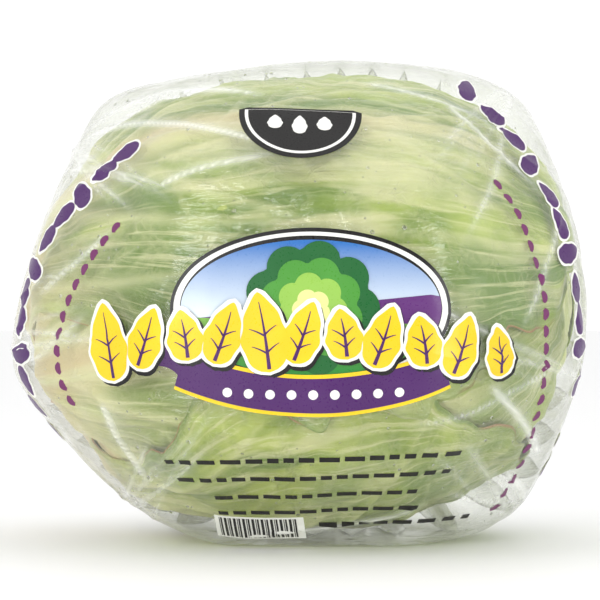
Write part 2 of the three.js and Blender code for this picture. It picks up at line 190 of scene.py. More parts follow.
stem_turns = np.linspace(0, 2 * math.pi, 144, endpoint=False)
cut_rings = np.linspace(0.02, 1, 30)
side_rings = np.linspace(0, 1, 46)[1:]
stem_a, stem_b = basis_about(BUTT)
stem_rows = []
stem_radial = []
for share in cut_rings:
    # the cut face: slightly domed, with knife marks and a sunken pith
    bump = 0.0006 * np.cos(19 * share) * share + 0.0012 * share**6
    stem_rows.append((BUTT_DISTANCE - bump - 0.0009 * np.exp(-((share / 0.3) ** 2)), share))
    stem_radial.append(share)
for depth in side_rings:
    distance = BUTT_DISTANCE - 0.0012 - (BUTT_DISTANCE - STEM_TIP) * depth
    taper = distance / BUTT_DISTANCE
    stem_rows.append((distance, taper * (1 - 0.5 * depth**14)))
    stem_radial.append(1.0 + depth)
stem_points = []
for distance, share in stem_rows:
    lobes = 1 + 0.045 * np.cos(5 * stem_turns) + 0.02 * np.cos(11 * stem_turns + 60 * distance)
    radius = BUTT_DISTANCE * math.tan(STEM_ANGLE) * 0.97 * share * lobes
    stem_points.append(
        BUTT * distance
        + stem_a * (radius * np.cos(stem_turns))[:, None]
        + stem_b * (radius * np.sin(stem_turns))[:, None]
    )
stem_points = np.array(stem_points)
stem_points += BUTT * (0.0003 * waves(stem_points, 0.004, 3))[..., None]
count = stem_points.shape[1]
stem_faces = grid_faces(len(stem_rows), count, closed=True).tolist()
stem_faces.append(list(range(count))[::-1])
stem_faces.append(list(range((len(stem_rows) - 1) * count, len(stem_rows) * count)))
stem = new_piece(
    "stem_core",
    stem_points.reshape(-1, 3),
    np.array(stem_faces, dtype=object),
    masks={"out_from_pith": np.repeat(stem_radial, count)},
)


def add_node(tree, kind, inputs=None, **settings):
    """A shader node. Each input is a value or another node's output socket."""
    made = tree.nodes.new(kind)
    for setting, value in settings.items():
        setattr(made, setting, value)
    for socket, value in (inputs or {}).items():
        if isinstance(value, bpy.types.NodeSocket):
            tree.links.new(value, made.inputs[socket])
        else:
            made.inputs[socket].default_value = value
    return made


def maths(tree, operation, *values):
    return add_node(tree, "ShaderNodeMath", dict(enumerate(values)), operation=operation).outputs[0]


def times(tree, a, b):
    return maths(tree, "MULTIPLY", a, b)


def plus(tree, *values):
    total = values[0]
    for value in values[1:]:
        total = maths(tree, "ADD", total, value)
    return total


def blend_colour(tree, share, first, second):
    """first where share is 0, second where it is 1."""
    made = tree.nodes.new("ShaderNodeMix")
    made.data_type = "RGBA"
    sockets = {s.identifier: s for s in made.inputs}
    for key, value in (("Factor_Float", share), ("A_Color", first), ("B_Color", second)):
        if isinstance(value, bpy.types.NodeSocket):
            tree.links.new(value, sockets[key])
        else:
            sockets[key].default_value = value
    return next(s for s in made.outputs if s.identifier == "Result_Color")


def ramp(tree, value, low, high):
    """0 below low, 1 above high, and smooth between."""
    given = {"Value": value, "From Min": low, "From Max": high}
    return add_node(tree, "ShaderNodeMapRange", given, interpolation_type="SMOOTHSTEP").outputs["Result"]


def noise(tree, place, scale, detail=2.0, distortion=0.0, output="Fac"):
    given = {"Vector": place, "Scale": scale, "Detail": detail, "Distortion": distortion}
    return add_node(tree, "ShaderNodeTexNoise", given).outputs[output]


def bumps(tree, height, strength, distance):
    given = {"Height": height, "Strength": strength, "Distance": distance}
    return add_node(tree, "ShaderNodeBump", given).outputs[0]


def colour(red, green, blue):
    """A colour given on the usual 0 to 255 scale, as the linear values that shaders take."""
    def linear(c):
        c /= 255
        return c / 12.92 if c <= 0.04045 else ((c + 0.055) / 1.055) ** 2.4
    return (linear(red), linear(green), linear(blue), 1)


def mask_of(tree, name):
    return add_node(tree, "ShaderNodeAttribute", attribute_name=name).outputs["Fac"]


def place_on(tree):
    """Where a point of the surface is, in metres."""
    return add_node(tree, "ShaderNodeTexCoord").outputs["Object"]


def new_finish(name):
    finish = bpy.data.materials.new(name)
    finish.use_nodes = True
    return finish, finish.node_tree, finish.node_tree.nodes["Principled BSDF"]


def dress(surface, shade, roughness, normal):
    tree = surface.id_data
    for socket, value in (("Base Color", shade), ("Roughness", roughness), ("Normal", normal)):
        tree.links.new(value, surface.inputs[socket])


def stem_finish():
    finish, tree, surface = new_finish("cut_stem_flesh")
    place = place_on(tree)
    grain = noise(tree, place, 420.0, 6.0)
    stain = noise(tree, place, 150.0, 4.0)
    out = mask_of(tree, "out_from_pith")
    off_ring = maths(tree, "ABSOLUTE", maths(tree, "SUBTRACT", out, 0.62))
    ring = maths(tree, "SUBTRACT", 1.0, ramp(tree, off_ring, 0.03, 0.2))
    dried = maths(tree, "SUBTRACT", 1.0, ramp(tree, out, 1.0, 1.12))
    tan = times(tree, dried, ramp(tree, stain, 0.35, 0.7))
    flesh = blend_colour(tree, grain, colour(222, 211, 176), colour(238, 232, 208))
    flesh = blend_colour(tree, times(tree, tan, 0.75), flesh, colour(178, 128, 84))
    flesh = blend_colour(tree, times(tree, times(tree, ring, dried), 0.55), flesh, colour(152, 98, 60))
    dress(surface, flesh, ramp(tree, grain, -0.6, 1.6), bumps(tree, grain, 0.5, 0.0006))
    return finish


stem.data.materials.append(stem_finish())
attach(stem, "root")
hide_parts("stem")

# ---------------------------------------------------------------- heart
# The tight bud of young leaves round the end of the core, crumpled and pressed into one ball.
# It grew in place, and the head leaves close over it.

# The leaves are nested by a rule that the heart needs too. Each is a broad fan drawn on a map of
# the head round the leaf's own middle: y runs along its midrib, away from the stem, and x across.
BLADE = 0.0009  # a leaf's thickness between its ribs
RIB = 0.0018  # what the midrib adds at its foot
RIB_HALF_ANGLE = 0.13
LEAF_GAP = 0.0022  # the air under a wrapper leaf
HEAD_LEAF_GAP = 0.0034
STEM_PACKING = 0.5  # how much of that air is pressed out beside the stem
STEM_CLEARANCE = 0.0012
HEART_GAP = 0.0015
WRAPPER_LEAVES = 7
HEAD_LEAVES = 10
GOLDEN_ANGLE = math.radians(137.5)
OUTERMOST_AZIMUTH = math.radians(50)  # 0 is the front, 90 degrees the top
LEAF_MARGIN = 0.06
LEAF_FALL = 0.35  # outside a leaf's margin the leaf under it comes up to its level over this angle
RIB_SPREAD = 0.22
LEAF_POLAR = 1.5  # from the stem to a leaf's middle
WRAPPER_REACH = 3.03  # from the stem to a leaf's tip; the margins run a little past the plain leaves'
HEAD_REACH = 3.05
SECOND_LEAF_CUT = 0.75  # the last leaf but one is torn short
REACH_VARIATION = 0.12
WRAPPER_HALF_WIDTH = 1.32
HEAD_HALF_WIDTH = 1.45
END_FULLNESS = 0.065  # how much further out the leaves lie at the far end


def new_leaf(order):
    """Leaf number order, counted outwards from the heart."""
    inward = HEAD_LEAVES + WRAPPER_LEAVES - 1 - order
    wrapper = inward < WRAPPER_LEAVES
    azimuth = OUTERMOST_AZIMUTH - GOLDEN_ANGLE * inward
    polar = LEAF_POLAR + 0.06 * math.sin(2.1 * order)
    up = unit(np.array([0, 0, 1.0]) - BUTT[2] * BUTT)
    front = unit(np.cross(up, BUTT))
    if front[1] > 0:
        front = -front
    out = front * math.cos(azimuth) + up * math.sin(azimuth)
    middle = BUTT * math.cos(polar) + out * math.sin(polar)
    along = out * math.cos(polar) - BUTT * math.sin(polar)
    reach = (WRAPPER_REACH if wrapper else HEAD_REACH) - (SECOND_LEAF_CUT if inward == 1 else 0)
    reach += REACH_VARIATION * math.sin(1.9 * inward + 0.6)
    return {
        "order": order,
        "inward": inward,
        "middle": middle,
        "along": along,
        "across": np.cross(along, middle),
        "foot": -(polar - STEM_ANGLE - STEM_CLEARANCE / (HALF[2] - BLADE) - 0.02),
        "tip": reach - polar,
        "half_width": (WRAPPER_HALF_WIDTH if wrapper else HEAD_HALF_WIDTH) + 0.08 * math.cos(2.3 * inward),
        "gap": LEAF_GAP if wrapper else HEAD_LEAF_GAP,
    }


leaves = [new_leaf(order) for order in range(HEAD_LEAVES + WRAPPER_LEAVES)]


def along_share(leaf, y):
    return np.clip((y - leaf["foot"]) / (leaf["tip"] - leaf["foot"]), 0, 1)


def half_width_at(leaf, y):
    s = along_share(leaf, y)
    fan = 0.16 + 0.84 * smooth(0, 0.55, s)
    end = np.maximum(1 - np.maximum(0, (s - 0.45) / 0.55) ** 2.6, 0) ** (1 / 2.6)
    return leaf["half_width"] * fan * end


def map_direction(leaf, x, y):
    r = np.hypot(x, y)
    k = np.sinc(r / math.pi)
    return unit(
        leaf["middle"] * np.cos(r)[..., None]
        + leaf["across"] * (k * x)[..., None]
        + leaf["along"] * (k * y)[..., None]
    )


def map_place(leaf, d):
    r = np.arccos(np.clip(d @ leaf["middle"], -1, 1))
    a = np.arctan2(d @ leaf["across"], d @ leaf["along"])
    return r * np.sin(a), r * np.cos(a)


def rib_at(leaf, x, y, spread=0.0):
    s = along_share(leaf, y)
    width = RIB_HALF_ANGLE * (1.25 - s) + spread
    return RIB * (1 - s) ** 1.5 * np.exp(-((x / width) ** 2))


def room_of(leaf, d):
    """How much room a leaf takes from the leaves inside it."""
    x, y = map_place(leaf, d)
    over = np.abs(x) - half_width_at(leaf, np.clip(y, leaf["foot"], leaf["tip"] - 0.25))
    past = np.maximum(np.maximum(leaf["foot"] - y, y - leaf["tip"]), 0)
    away = np.hypot(np.maximum(over, 0), past)
    cover = 1 - smooth(LEAF_MARGIN, LEAF_MARGIN + LEAF_FALL, away)
    packing = 1 - smooth(0.2, 1.2, np.arccos(np.clip(d @ BUTT, -1, 1)))
    air = leaf["gap"] * (1 - STEM_PACKING * packing)
    return cover * (BLADE + rib_at(leaf, x, y, RIB_SPREAD) + air)


def fullness(d):
    """The far end, where the leaves close over the heart, fills out towards the film."""
    from_end = np.arccos(np.clip(-(d @ BUTT), -1, 1))
    return 1 + END_FULLNESS * (1 - smooth(0.6, 1.3, from_end))


def outer_radius(order, d):
    """The outer level of leaf number order, before its own ribs and folds."""
    r = head_radius(d)
    for leaf in leaves[order + 1:]:
        r = r - room_of(leaf, d)
    return r * fullness(d)


def swell(d):
    """Gentle swellings that run through the whole head, so that nested leaves stay nested."""
    return 0.0011 * waves(d * HALF[0], 0.062, 11) + 0.0005 * waves(d * HALF[0], 0.024, 12)


HEART_SETBACK = 0.0035
HEART_RIDGE = 0.0016
heart_columns = 220
heart_rows = 110
heart_polar = np.linspace(0.32, math.pi - 0.01, heart_rows)
heart_turn = np.linspace(0, 2 * math.pi, heart_columns, endpoint=False)
heart_a, heart_b = basis_about(BUTT)
heart_directions = (
    BUTT * np.cos(heart_polar)[:, None, None]
    + heart_a * (np.sin(heart_polar)[:, None] * np.cos(heart_turn))[..., None]
    + heart_b * (np.sin(heart_polar)[:, None] * np.sin(heart_turn))[..., None]
)
heart_level = outer_radius(0, heart_directions) - room_of(leaves[0], heart_directions) - HEART_GAP
# overlapping young leaves: spiral ridges that end in a crumple at the top of the bud
ridge = np.mod((3 * heart_turn[None, :] + 4.2 * heart_polar[:, None]) / (2 * math.pi), 1)
heart_level -= HEART_SETBACK
heart_level += HEART_RIDGE * ridge**2 * np.sin(heart_polar)[:, None]
heart_level += 0.0009 * waves(heart_directions * 0.04, 0.013, 21)
heart_points = (heart_directions * heart_level[..., None]).reshape(-1, 3)
heart_faces = grid_faces(heart_rows, heart_columns, closed=True).tolist()
heart_faces.append(list(range(heart_columns))[::-1])
heart_faces.append(list(range((heart_rows - 1) * heart_columns, heart_rows * heart_columns)))
heart_map = np.broadcast_arrays(heart_turn[None, :] / 6.3, heart_polar[:, None] / 3.2)
heart = new_piece(
    "heart_bud", heart_points, np.array(heart_faces, dtype=object), uv=np.stack(heart_map, -1).reshape(-1, 2),
    masks={
        "vein": (ridge > 0.9).astype(float).ravel(),
        "rib": np.repeat(np.exp(-((heart_polar - 0.3) / 0.7) ** 2), heart_columns),
        "edge": (ridge > 0.96).astype(float).ravel(),
    },
)


def stretched(tree, vector, factors):
    given = {0: vector, 1: factors}
    return add_node(tree, "ShaderNodeVectorMath", given, operation="MULTIPLY").outputs[0]


def cell_walls(tree, place, scale, push_scale, push_detail):
    """The distance to the nearest wall of a net of cells with bent sides."""
    push = noise(tree, place, push_scale, push_detail, output="Color")
    given = {0: place, 1: stretched(tree, push, (0.02, 0.02, 0.02))}
    bent = add_node(tree, "ShaderNodeVectorMath", given, operation="ADD").outputs[0]
    given = {"Vector": bent, "Scale": scale}
    return add_node(tree, "ShaderNodeTexVoronoi", given, feature="DISTANCE_TO_EDGE").outputs["Distance"]


def new_effect(name, inputs, outputs):
    """A shader node group: the group, its inputs' sockets and its outputs' sockets."""
    tree = bpy.data.node_groups.new(name, "ShaderNodeTree")
    for in_out, sockets in (("INPUT", inputs), ("OUTPUT", outputs)):
        for socket, kind in sockets.items():
            tree.interface.new_socket(name=socket, in_out=in_out, socket_type=f"NodeSocket{kind}")
    return tree, tree.nodes.new("NodeGroupInput").outputs, tree.nodes.new("NodeGroupOutput").inputs


def leaf_flesh_group():
    """What all the leaves' surfaces share: mottled blade, a net of fine veins, cream ribs, margin."""
    tree, given, result = new_effect(
        "leaf_flesh",
        {"Fan": "Vector", "Vein": "Float", "Rib": "Float", "Edge": "Float", "Blade": "Color",
         "Deep": "Color", "Cream": "Color", "Browning": "Float"},
        {"Color": "Color", "Roughness": "Float", "Height": "Float"},
    )
    place = place_on(tree)
    patches = noise(tree, place, 26.0, 3.0)
    mottle = noise(tree, place, 120.0, 5.0)
    grain = noise(tree, place, 900.0, 3.0)
    # streaks run out from the stem: the fan map is stretched across and kept long
    streaks = noise(tree, stretched(tree, given["Fan"], (17.0, 2.2, 1.0)), 1.0, 5.0, 0.6)
    bands = noise(tree, stretched(tree, given["Fan"], (7.0, 1.3, 1.0)), 1.0, 2.0, 0.8)
    fibres = noise(tree, stretched(tree, given["Fan"], (70.0, 6.0, 1.0)), 1.0, 4.0, 0.9)
    net = maths(tree, "SUBTRACT", 1.0, ramp(tree, cell_walls(tree, place, 330.0, 60.0, 2.0), 0.0, 0.2))
    net = times(tree, net, ramp(tree, mottle, 0.3, 0.75))
    pale = times(tree, ramp(tree, streaks, 0.5, 0.63), 0.82)
    pale = times(tree, pale, ramp(tree, patches, 0.75, 0.3))
    brown = times(tree, ramp(tree, given["Edge"], 0.955, 0.99), ramp(tree, patches, 0.5, 0.6))
    blush = times(tree, times(tree, given["Rib"], ramp(tree, bands, 0.42, 0.6)), 0.55)
    blade = given["Blade"]
    for share, shade in (
        (ramp(tree, patches, 0.4, 0.7), given["Deep"]),
        (ramp(tree, bands, 0.46, 0.58), given["Deep"]),
        (times(tree, ramp(tree, mottle, 0.45, 0.7), 0.42), given["Deep"]),
        (pale, given["Cream"]),
        (times(tree, ramp(tree, fibres, 0.52, 0.68), 0.5), given["Cream"]),
        (times(tree, net, 0.2), given["Cream"]),
        (times(tree, ramp(tree, given["Edge"], 0.75, 1.0), 0.35), given["Deep"]),
        (times(tree, given["Vein"], 0.72), given["Cream"]),
        (given["Rib"], given["Cream"]),
        (times(tree, brown, given["Browning"]), colour(186, 132, 92)),
        (blush, colour(218, 186, 140)),
    ):
        blade = blend_colour(tree, share, blade, shade)
    height = plus(
        tree, times(tree, net, 0.3), times(tree, grain, 0.2), times(tree, mottle, 0.5),
        times(tree, streaks, 1.2), times(tree, fibres, 0.5),
    )
    tree.links.new(blade, result["Color"])
    tree.links.new(ramp(tree, mottle, -0.75, 1.9), result["Roughness"])
    tree.links.new(height, result["Height"])
    return tree


leaf_flesh = leaf_flesh_group()


def leaf_finish(name, blade, deep, cream, browning):
    finish, tree, surface = new_finish(name)
    fan = add_node(tree, "ShaderNodeUVMap", uv_map="UVMap").outputs["UV"]
    given = {"Fan": fan, "Blade": blade, "Deep": deep, "Cream": cream, "Browning": browning}
    given.update({mask.capitalize(): mask_of(tree, mask) for mask in ("vein", "rib", "edge")})
    flesh = add_node(tree, "ShaderNodeGroup", given, node_tree=leaf_flesh).outputs
    dress(surface, flesh["Color"], flesh["Roughness"], bumps(tree, flesh["Height"], 0.8, 0.0008))
    surface.inputs["Subsurface Weight"].default_value = 0.12
    surface.inputs["Subsurface Radius"].default_value = (0.8, 1.0, 0.35)
    surface.inputs["Subsurface Scale"].default_value = 0.003
    surface.inputs["Coat Weight"].default_value = 0.15
    surface.inputs["Coat Roughness"].default_value = 0.3
    return finish


heart.data.materials.append(
    leaf_finish("heart_flesh", colour(228, 222, 150), colour(212, 210, 128), colour(240, 236, 206), 0.0)
)
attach(heart, "root")
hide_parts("heart")

# ---------------------------------------------------------------- head leaves
# The pale cupped leaves that close over the heart, innermost first. Each clasps the stem with a
# thick white rib that breaks up into side veins, and its ruffled margin lies on the next leaf.


def grow_veins(leaf, rng, side_veins):
    """The raised veins as short straight lengths: x0, y0, x1, y1, half width and height."""
    foot, tip = leaf["foot"], leaf["tip"]
    lengths = []

    def grow(x, y, lean, turn, limit, width, height, level):
        travelled = 0.0
        step = 0.05 if level == 0 else 0.035
        while travelled < limit:
            share = travelled / limit
            nx = x + step * math.sin(lean)
            ny = y + step * math.cos(lean)
            room = float(half_width_at(leaf, np.array(ny)))
            if abs(nx) > 0.97 * room or ny > tip - 0.03:
                break
            taper = 1 - 0.75 * share
            lengths.append((x, y, nx, ny, width * taper, height * taper))
            x, y = nx, ny
            lean += turn * step + rng.normal(0, 0.035)
            travelled += step
            if level < 2 and rng.random() < (0.34 if level == 0 else 0.2):
                side = 1 if rng.random() < 0.5 else -1
                grow(
                    x, y, lean + side * rng.uniform(0.5, 0.95), -side * rng.uniform(0.4, 1.4),
                    rng.uniform(0.3, 0.6) * limit * (1 - 0.5 * share),
                    width * taper * 0.5, height * taper * 0.6, level + 1,
                )

    for side in (-1, 1):
        for number in range(side_veins):
            share = (number + rng.uniform(-0.25, 0.25)) / side_veins
            start = foot + (tip - foot) * (0.05 + 0.8 * max(share, 0) ** 1.2)
            lean = side * (0.85 - 0.35 * share + rng.uniform(-0.08, 0.08))
            grow(0.0, start, lean, -side * rng.uniform(0.1, 0.55), 1.5 - 0.6 * share,
                 0.048 * (1 - 0.5 * share), 0.0024 * (1 - 0.4 * share), 0)
    # the midrib itself, wandering a little
    grow(0.0, foot, 0.0, rng.uniform(-0.05, 0.05), (tip - foot) * 0.95, 0.075, 0.0032, 0)
    return np.array(lengths)


def vein_relief(x, y, lengths):
    """The height of the veins at map places x, y, and a 0 to 1 mask of where they run."""
    height = np.zeros(x.shape)
    mask = np.zeros(x.shape)
    for x0, y0, x1, y1, width, tall in lengths:
        reach = 3.2 * width
        near = (
            (x > min(x0, x1) - reach) & (x < max(x0, x1) + reach)
            & (y > min(y0, y1) - reach) & (y < max(y0, y1) + reach)
        )
        if not near.any():
            continue
        px, py = x[near], y[near]
        dx, dy = x1 - x0, y1 - y0
        t = np.clip(((px - x0) * dx + (py - y0) * dy) / (dx * dx + dy * dy), 0, 1)
        far = np.hypot(px - x0 - t * dx, py - y0 - t * dy)
        bell = np.exp(-((far / width) ** 2))
        height[near] = np.maximum(height[near], tall * bell)
        mask[near] = np.maximum(mask[near], bell * min(1, tall / 0.0021))
    return height, mask


MARGIN_LOBES = ((5, 0.03), (9, 0.03), (17, 0.018), (31, 0.010), (58, 0.006))  # how many, how deep
MAP_SCALE = 0.08  # metres of leaf for each unit of the map
FAN_FOLDS = ((13, 1.0), (21, 0.8), (34, 0.5))  # how many round a turn, and their share of the height
FOLD_HEIGHT = 0.0021
FOLD_SETBACK = 0.0012
RUFFLE_HEIGHT = 0.0019
MARGIN_HUG = 0.0017  # the margin lies this much closer to the next leaf
FILM_TOUCH = 0.0004  # a leaf that would pass the film is pressed flat this far inside it
FILM_PRESS = 4000  # how sharply, per metre


def leaf_piece(name, order, rows, columns):
    """One whole leaf: outer face, inner face and margin."""
    leaf = leaves[order]
    rng = np.random.default_rng(100 + order)
    lengths = grow_veins(leaf, rng, 5)
    t = np.linspace(0, 1, rows)[:, None]
    v = np.linspace(-1, 1, columns)[None, :]
    s = (1 - (1 - t) ** 1.6) * 0.9995 + 0 * v
    v = v + 0 * t
    y = leaf["foot"] + (leaf["tip"] - leaf["foot"]) * s
    x = v * half_width_at(leaf, y)
    edge = 1 - (1 - np.abs(v) ** 3) * (1 - s**7)
    # lobes and teeth of the margin
    middle_y = leaf["foot"] + 0.55 * (leaf["tip"] - leaf["foot"])
    turn = np.arctan2(x, y - middle_y)
    lobes = np.zeros(x.shape)
    for repeat, size in MARGIN_LOBES:
        lobes += size * np.cos(repeat * turn + rng.uniform(0, 6.3))
    spread = 1 + lobes * smooth(0.55, 1, edge) * smooth(0.1, 0.4, s)
    x, y = x * spread, middle_y + (y - middle_y) * spread
    d = map_direction(leaf, x, y)
    relief, vein = vein_relief(x, y, lengths)
    place = np.stack([x, y, 0 * x], -1) * MAP_SCALE
    # soft folds that fan out from the foot, deeper where the leaf is wide
    fan = np.arctan2(x, y - leaf["foot"] + 0.22)
    wide_here = np.hypot(x, y - leaf["foot"] + 0.22)
    folds = np.zeros(x.shape)
    for repeat, size in FAN_FOLDS:
        wander = 0.5 * waves(place, 0.05, 500 + 40 * order + repeat)
        ridge = 1 - np.abs(np.sin(repeat * fan / 2 + wander + rng.uniform(0, 3.1)))
        fade = np.clip(0.6 + 0.7 * waves(place, 0.07, 700 + 40 * order + repeat), 0, 1.3)
        folds += size * FOLD_HEIGHT * ridge**1.5 * fade * (13 / repeat) ** 0.6
    folds *= smooth(0.15, 0.9, wide_here) * (1 - smooth(1.5, 2.3, wide_here))
    folds *= 1 - 0.7 * smooth(0.8, 1, edge)
    blister = waves(place, 0.017, 200 + order) * 0.00045 + waves(place, 0.008, 300 + order) * 0.00022
    ruffle = 0.5 + 0.5 * waves(place, 0.03, 400 + order)
    ruffle = np.clip(ruffle, 0, 1.4) * RUFFLE_HEIGHT * smooth(0.6, 1, edge)
    hug = MARGIN_HUG * smooth(0.8, 1, edge)
    lift = swell(d) + folds - FOLD_SETBACK + relief * (1 - smooth(0.9, 1, edge))
    lift += blister * (1 - vein) + ruffle - hug
    level = outer_radius(order, d) + lift + rib_at(leaf, x, y) * 0.5
    film = np.linalg.norm(film_point(d), axis=-1) - FILM_WALL - FILM_TOUCH
    level = -np.logaddexp(-level * FILM_PRESS, -film * FILM_PRESS) / FILM_PRESS
    thick = (BLADE + rib_at(leaf, x, y)) * (1 - 0.6 * smooth(0.8, 1, edge))
    outer = (d * level[..., None]).reshape(-1, 3)
    inner = (d * (level - thick)[..., None]).reshape(-1, 3)
    n = rows * columns
    faces = [grid_faces(rows, columns)[:, ::-1], grid_faces(rows, columns, n)]
    rim = (
        [(0, j) for j in range(columns - 1)]
        + [(i, columns - 1) for i in range(rows - 1)]
        + [(rows - 1, j) for j in range(columns - 1, 0, -1)]
        + [(i, 0) for i in range(rows - 1, 0, -1)]
    )
    here = np.array([i * columns + j for i, j in rim])
    after = np.roll(here, -1)
    faces.append(np.stack([here, after, after + n, here + n], -1)[:, ::-1])
    rib_width = RIB_HALF_ANGLE * (0.75 - 0.45 * s) + 0.30 * np.exp(-s / 0.10)
    rib = np.exp(-((x / rib_width) ** 2)) * (1 - smooth(0.35, 0.95, s))
    base = np.exp(-((s / 0.17) ** 2))
    rib = np.clip(np.maximum(rib, base), 0, 1)
    masks = {"vein": vein, "rib": rib, "edge": edge}
    return new_piece(
        name, np.concatenate([outer, inner]), np.concatenate(faces),
        uv=np.tile(np.stack([v * 0.5 + 0.5, s], -1).reshape(-1, 2), (2, 1)),
        masks={mask: np.tile(values.ravel(), 2) for mask, values in masks.items()},
    )


pale_flesh = leaf_finish(
    "pale_leaf_flesh", colour(205, 212, 142), colour(184, 196, 116), colour(230, 226, 190), 0.25
)
for order in range(HEAD_LEAVES):
    node = f"head_leaf_{order + 1:02d}"
    piece = leaf_piece(f"{node}_cupped", order, 70, 60)
    piece.data.materials.append(pale_flesh)
    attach(piece, "root")
    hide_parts(node)

# ---------------------------------------------------------------- wrapper leaves
# The outer leaves that were left on at harvest: greener and larger, with strong raised ribs.
# The outermost one lies over the front and top, and its lower margin shows across the front.
wrapper_greens = [
    (colour(190, 201, 104), colour(150, 168, 72)),
    (colour(184, 196, 97), colour(138, 158, 61)),
    (colour(192, 203, 106), colour(144, 163, 66)),
    (colour(176, 192, 90), colour(126, 149, 52)),
    (colour(188, 203, 104), colour(136, 160, 62)),
    (colour(180, 195, 86), colour(116, 143, 44)),
    (colour(180, 197, 92), colour(104, 136, 42)),
]
for number in range(WRAPPER_LEAVES):
    order = HEAD_LEAVES + number
    node = f"wrapper_leaf_{number + 1}"
    outermost = number >= WRAPPER_LEAVES - 4
    piece = leaf_piece(f"{node}_ribbed", order, *((190, 150) if outermost else (120, 100)))
    blade, deep = wrapper_greens[number]
    piece.data.materials.append(leaf_finish(f"{node}_flesh", blade, deep, colour(231, 229, 178), 0.8))
    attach(piece, "root")
    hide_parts(node)

# ---------------------------------------------------------------- film wrapper
# One thin clear film, printed on its outside, pulled round the head and gathered at the back.
# It spans the head's high points in nearly flat facets, with sharp creases where it is pulled.
NECK_RADIUS = 0.005
TAPE_WIDTH = 0.008
TAIL_RADIUS = 0.019
TAIL_LENGTH = 0.006
PLEATS = 36
GATHER_DISTANCE = float(np.linalg.norm(film_point(GATHER)))
NECK_START = GATHER_DISTANCE + 0.001
NECK_END = NECK_START + TAPE_WIDTH + 0.001


def front_direction(x, z):
    """The direction of the film's point that lies x, z millimetres from the middle of the front."""
    wanted = np.array([x, z]) / 1000
    guess = wanted.copy()
    for _ in range(8):
        across, up = guess[0] / HALF[0], guess[1] / HALF[2]
        depth = math.sqrt(max(0.02, 1 - across**2 - up**2))
        d = unit([guess[0], -depth * HALF[1], guess[1]])
        guess = guess + 0.7 * (wanted - film_point(d)[[0, 2]])
    return d


# Creases that the film keeps: from, to (x and z in millimetres on the front), height, half width.
front_creases = [
    ((-72, 55), (-8, 68), 0.0013, 0.0011),
    ((-72, 54), (-6, 51), 0.0012, 0.0010),
    ((-46, 38), (-8, 50), 0.0009, 0.0009),
    ((-58, 62), (-30, 70), 0.0008, 0.0010),
    ((60, -24), (79, -49), 0.0012, 0.0011),
    ((66, -54), (78, -68), 0.0011, 0.0011),
    ((-64, -30), (-48, -58), 0.0011, 0.0011),
    ((-84, 4), (-58, 26), 0.0008, 0.0010),
    ((46, 66), (74, 40), 0.0010, 0.0011),
    ((20, 72), (60, 60), 0.0008, 0.0010),
    ((40, -62), (-20, -74), 0.0009, 0.0012),
    ((84, 30), (70, -6), 0.0007, 0.0010),
]
pull_rng = np.random.default_rng(7)
gather_a, gather_b = basis_about(GATHER)
CREASE_RISE = 1.35  # against the heights listed above
creases = [(front_direction(*a), front_direction(*b), CREASE_RISE * h, w) for a, b, h, w in front_creases]
corners_pulled = [(-74, 54), (70, 70), (88, -20), (72, -66), (-58, -70), (-92, -12)]
for corner in corners_pulled:
    for _ in range(7):
        toward = pull_rng.normal(0, 30, 2)
        share = pull_rng.uniform(0.2, 0.5)
        end = [c + share * (t - c) for c, t in zip(corner, toward)]
        start = [c + pull_rng.normal(0, 5) for c in corner]
        creases.append((
            front_direction(*start), front_direction(*end),
            pull_rng.uniform(0.0004, 0.0010), pull_rng.uniform(0.0007, 0.0011),
        ))
for _ in range(54):
    turn = pull_rng.uniform(0, 2 * math.pi)
    lengthwise = pull_rng.uniform(0.5, 1.5)
    ends = []
    for polar, skew in ((0.1, 0.0), (0.1 + lengthwise, pull_rng.normal(0, 0.12))):
        side = gather_a * math.cos(turn + skew) + gather_b * math.sin(turn + skew)
        ends.append(unit(GATHER * math.cos(polar) + side * math.sin(polar)))
    creases.append((*ends, pull_rng.uniform(0.0006, 0.0016), pull_rng.uniform(0.0009, 0.0018)))
slack_corners = [
    (front_direction(-62, 62), 0.34), (front_direction(66, 66), 0.3), (front_direction(88, 10), 0.3),
    (front_direction(74, -58), 0.34), (front_direction(-60, -56), 0.34), (front_direction(-90, -6), 0.26),
]


MEAN_REACH = 0.085  # from the centre to the film, near enough
LEAST_CREASE = 0.0013
PLEAT_HEIGHT = 0.0034


def crease_shape(d):
    """How far the creases stand up in direction d, and a mask of where the film whitens along them: partly
    its own stress-whitening, partly a painted highlight on each ridge and a painted veil of light on one
    side.
    """
    height = np.zeros(d.shape[:-1])
    whitening_and_highlight = np.zeros(d.shape[:-1])
    for a, b, tall, width in creases:
        square = unit(np.cross(a, b))
        length = math.acos(float(np.clip(a @ b, -1, 1)))
        ahead = np.cross(square, a)
        along = np.arctan2(d @ ahead, d @ a)
        aside = np.arcsin(np.clip(d @ square, -1, 1)) + 0.005 * np.sin(along * 11 + 40 * tall / width)
        ends = smooth(-0.03, 0.12 * length, along) * (1 - smooth(0.75 * length, length + 0.04, along))
        far = np.abs(aside) * MEAN_REACH / max(width, LEAST_CREASE)
        height += tall * ends * (np.exp(-far) - 0.45 * np.exp(-((far / 3.0) ** 2)))
        # a painted veil of light on one side of each crease, beside the painted highlight on its ridge
        painted_light_veil = 0.34 * np.exp(-far / 4) * (aside > 0)
        whitening_and_highlight = np.maximum(whitening_and_highlight, tall / 0.0015 * ends * (np.exp(-far * 1.3) + painted_light_veil))
    taut = smooth(0.45, 1.0, np.arccos(np.clip(-d @ GATHER, -1, 1)))
    return height * (0.25 + 0.75 * taut), np.clip(whitening_and_highlight, 0, 1)


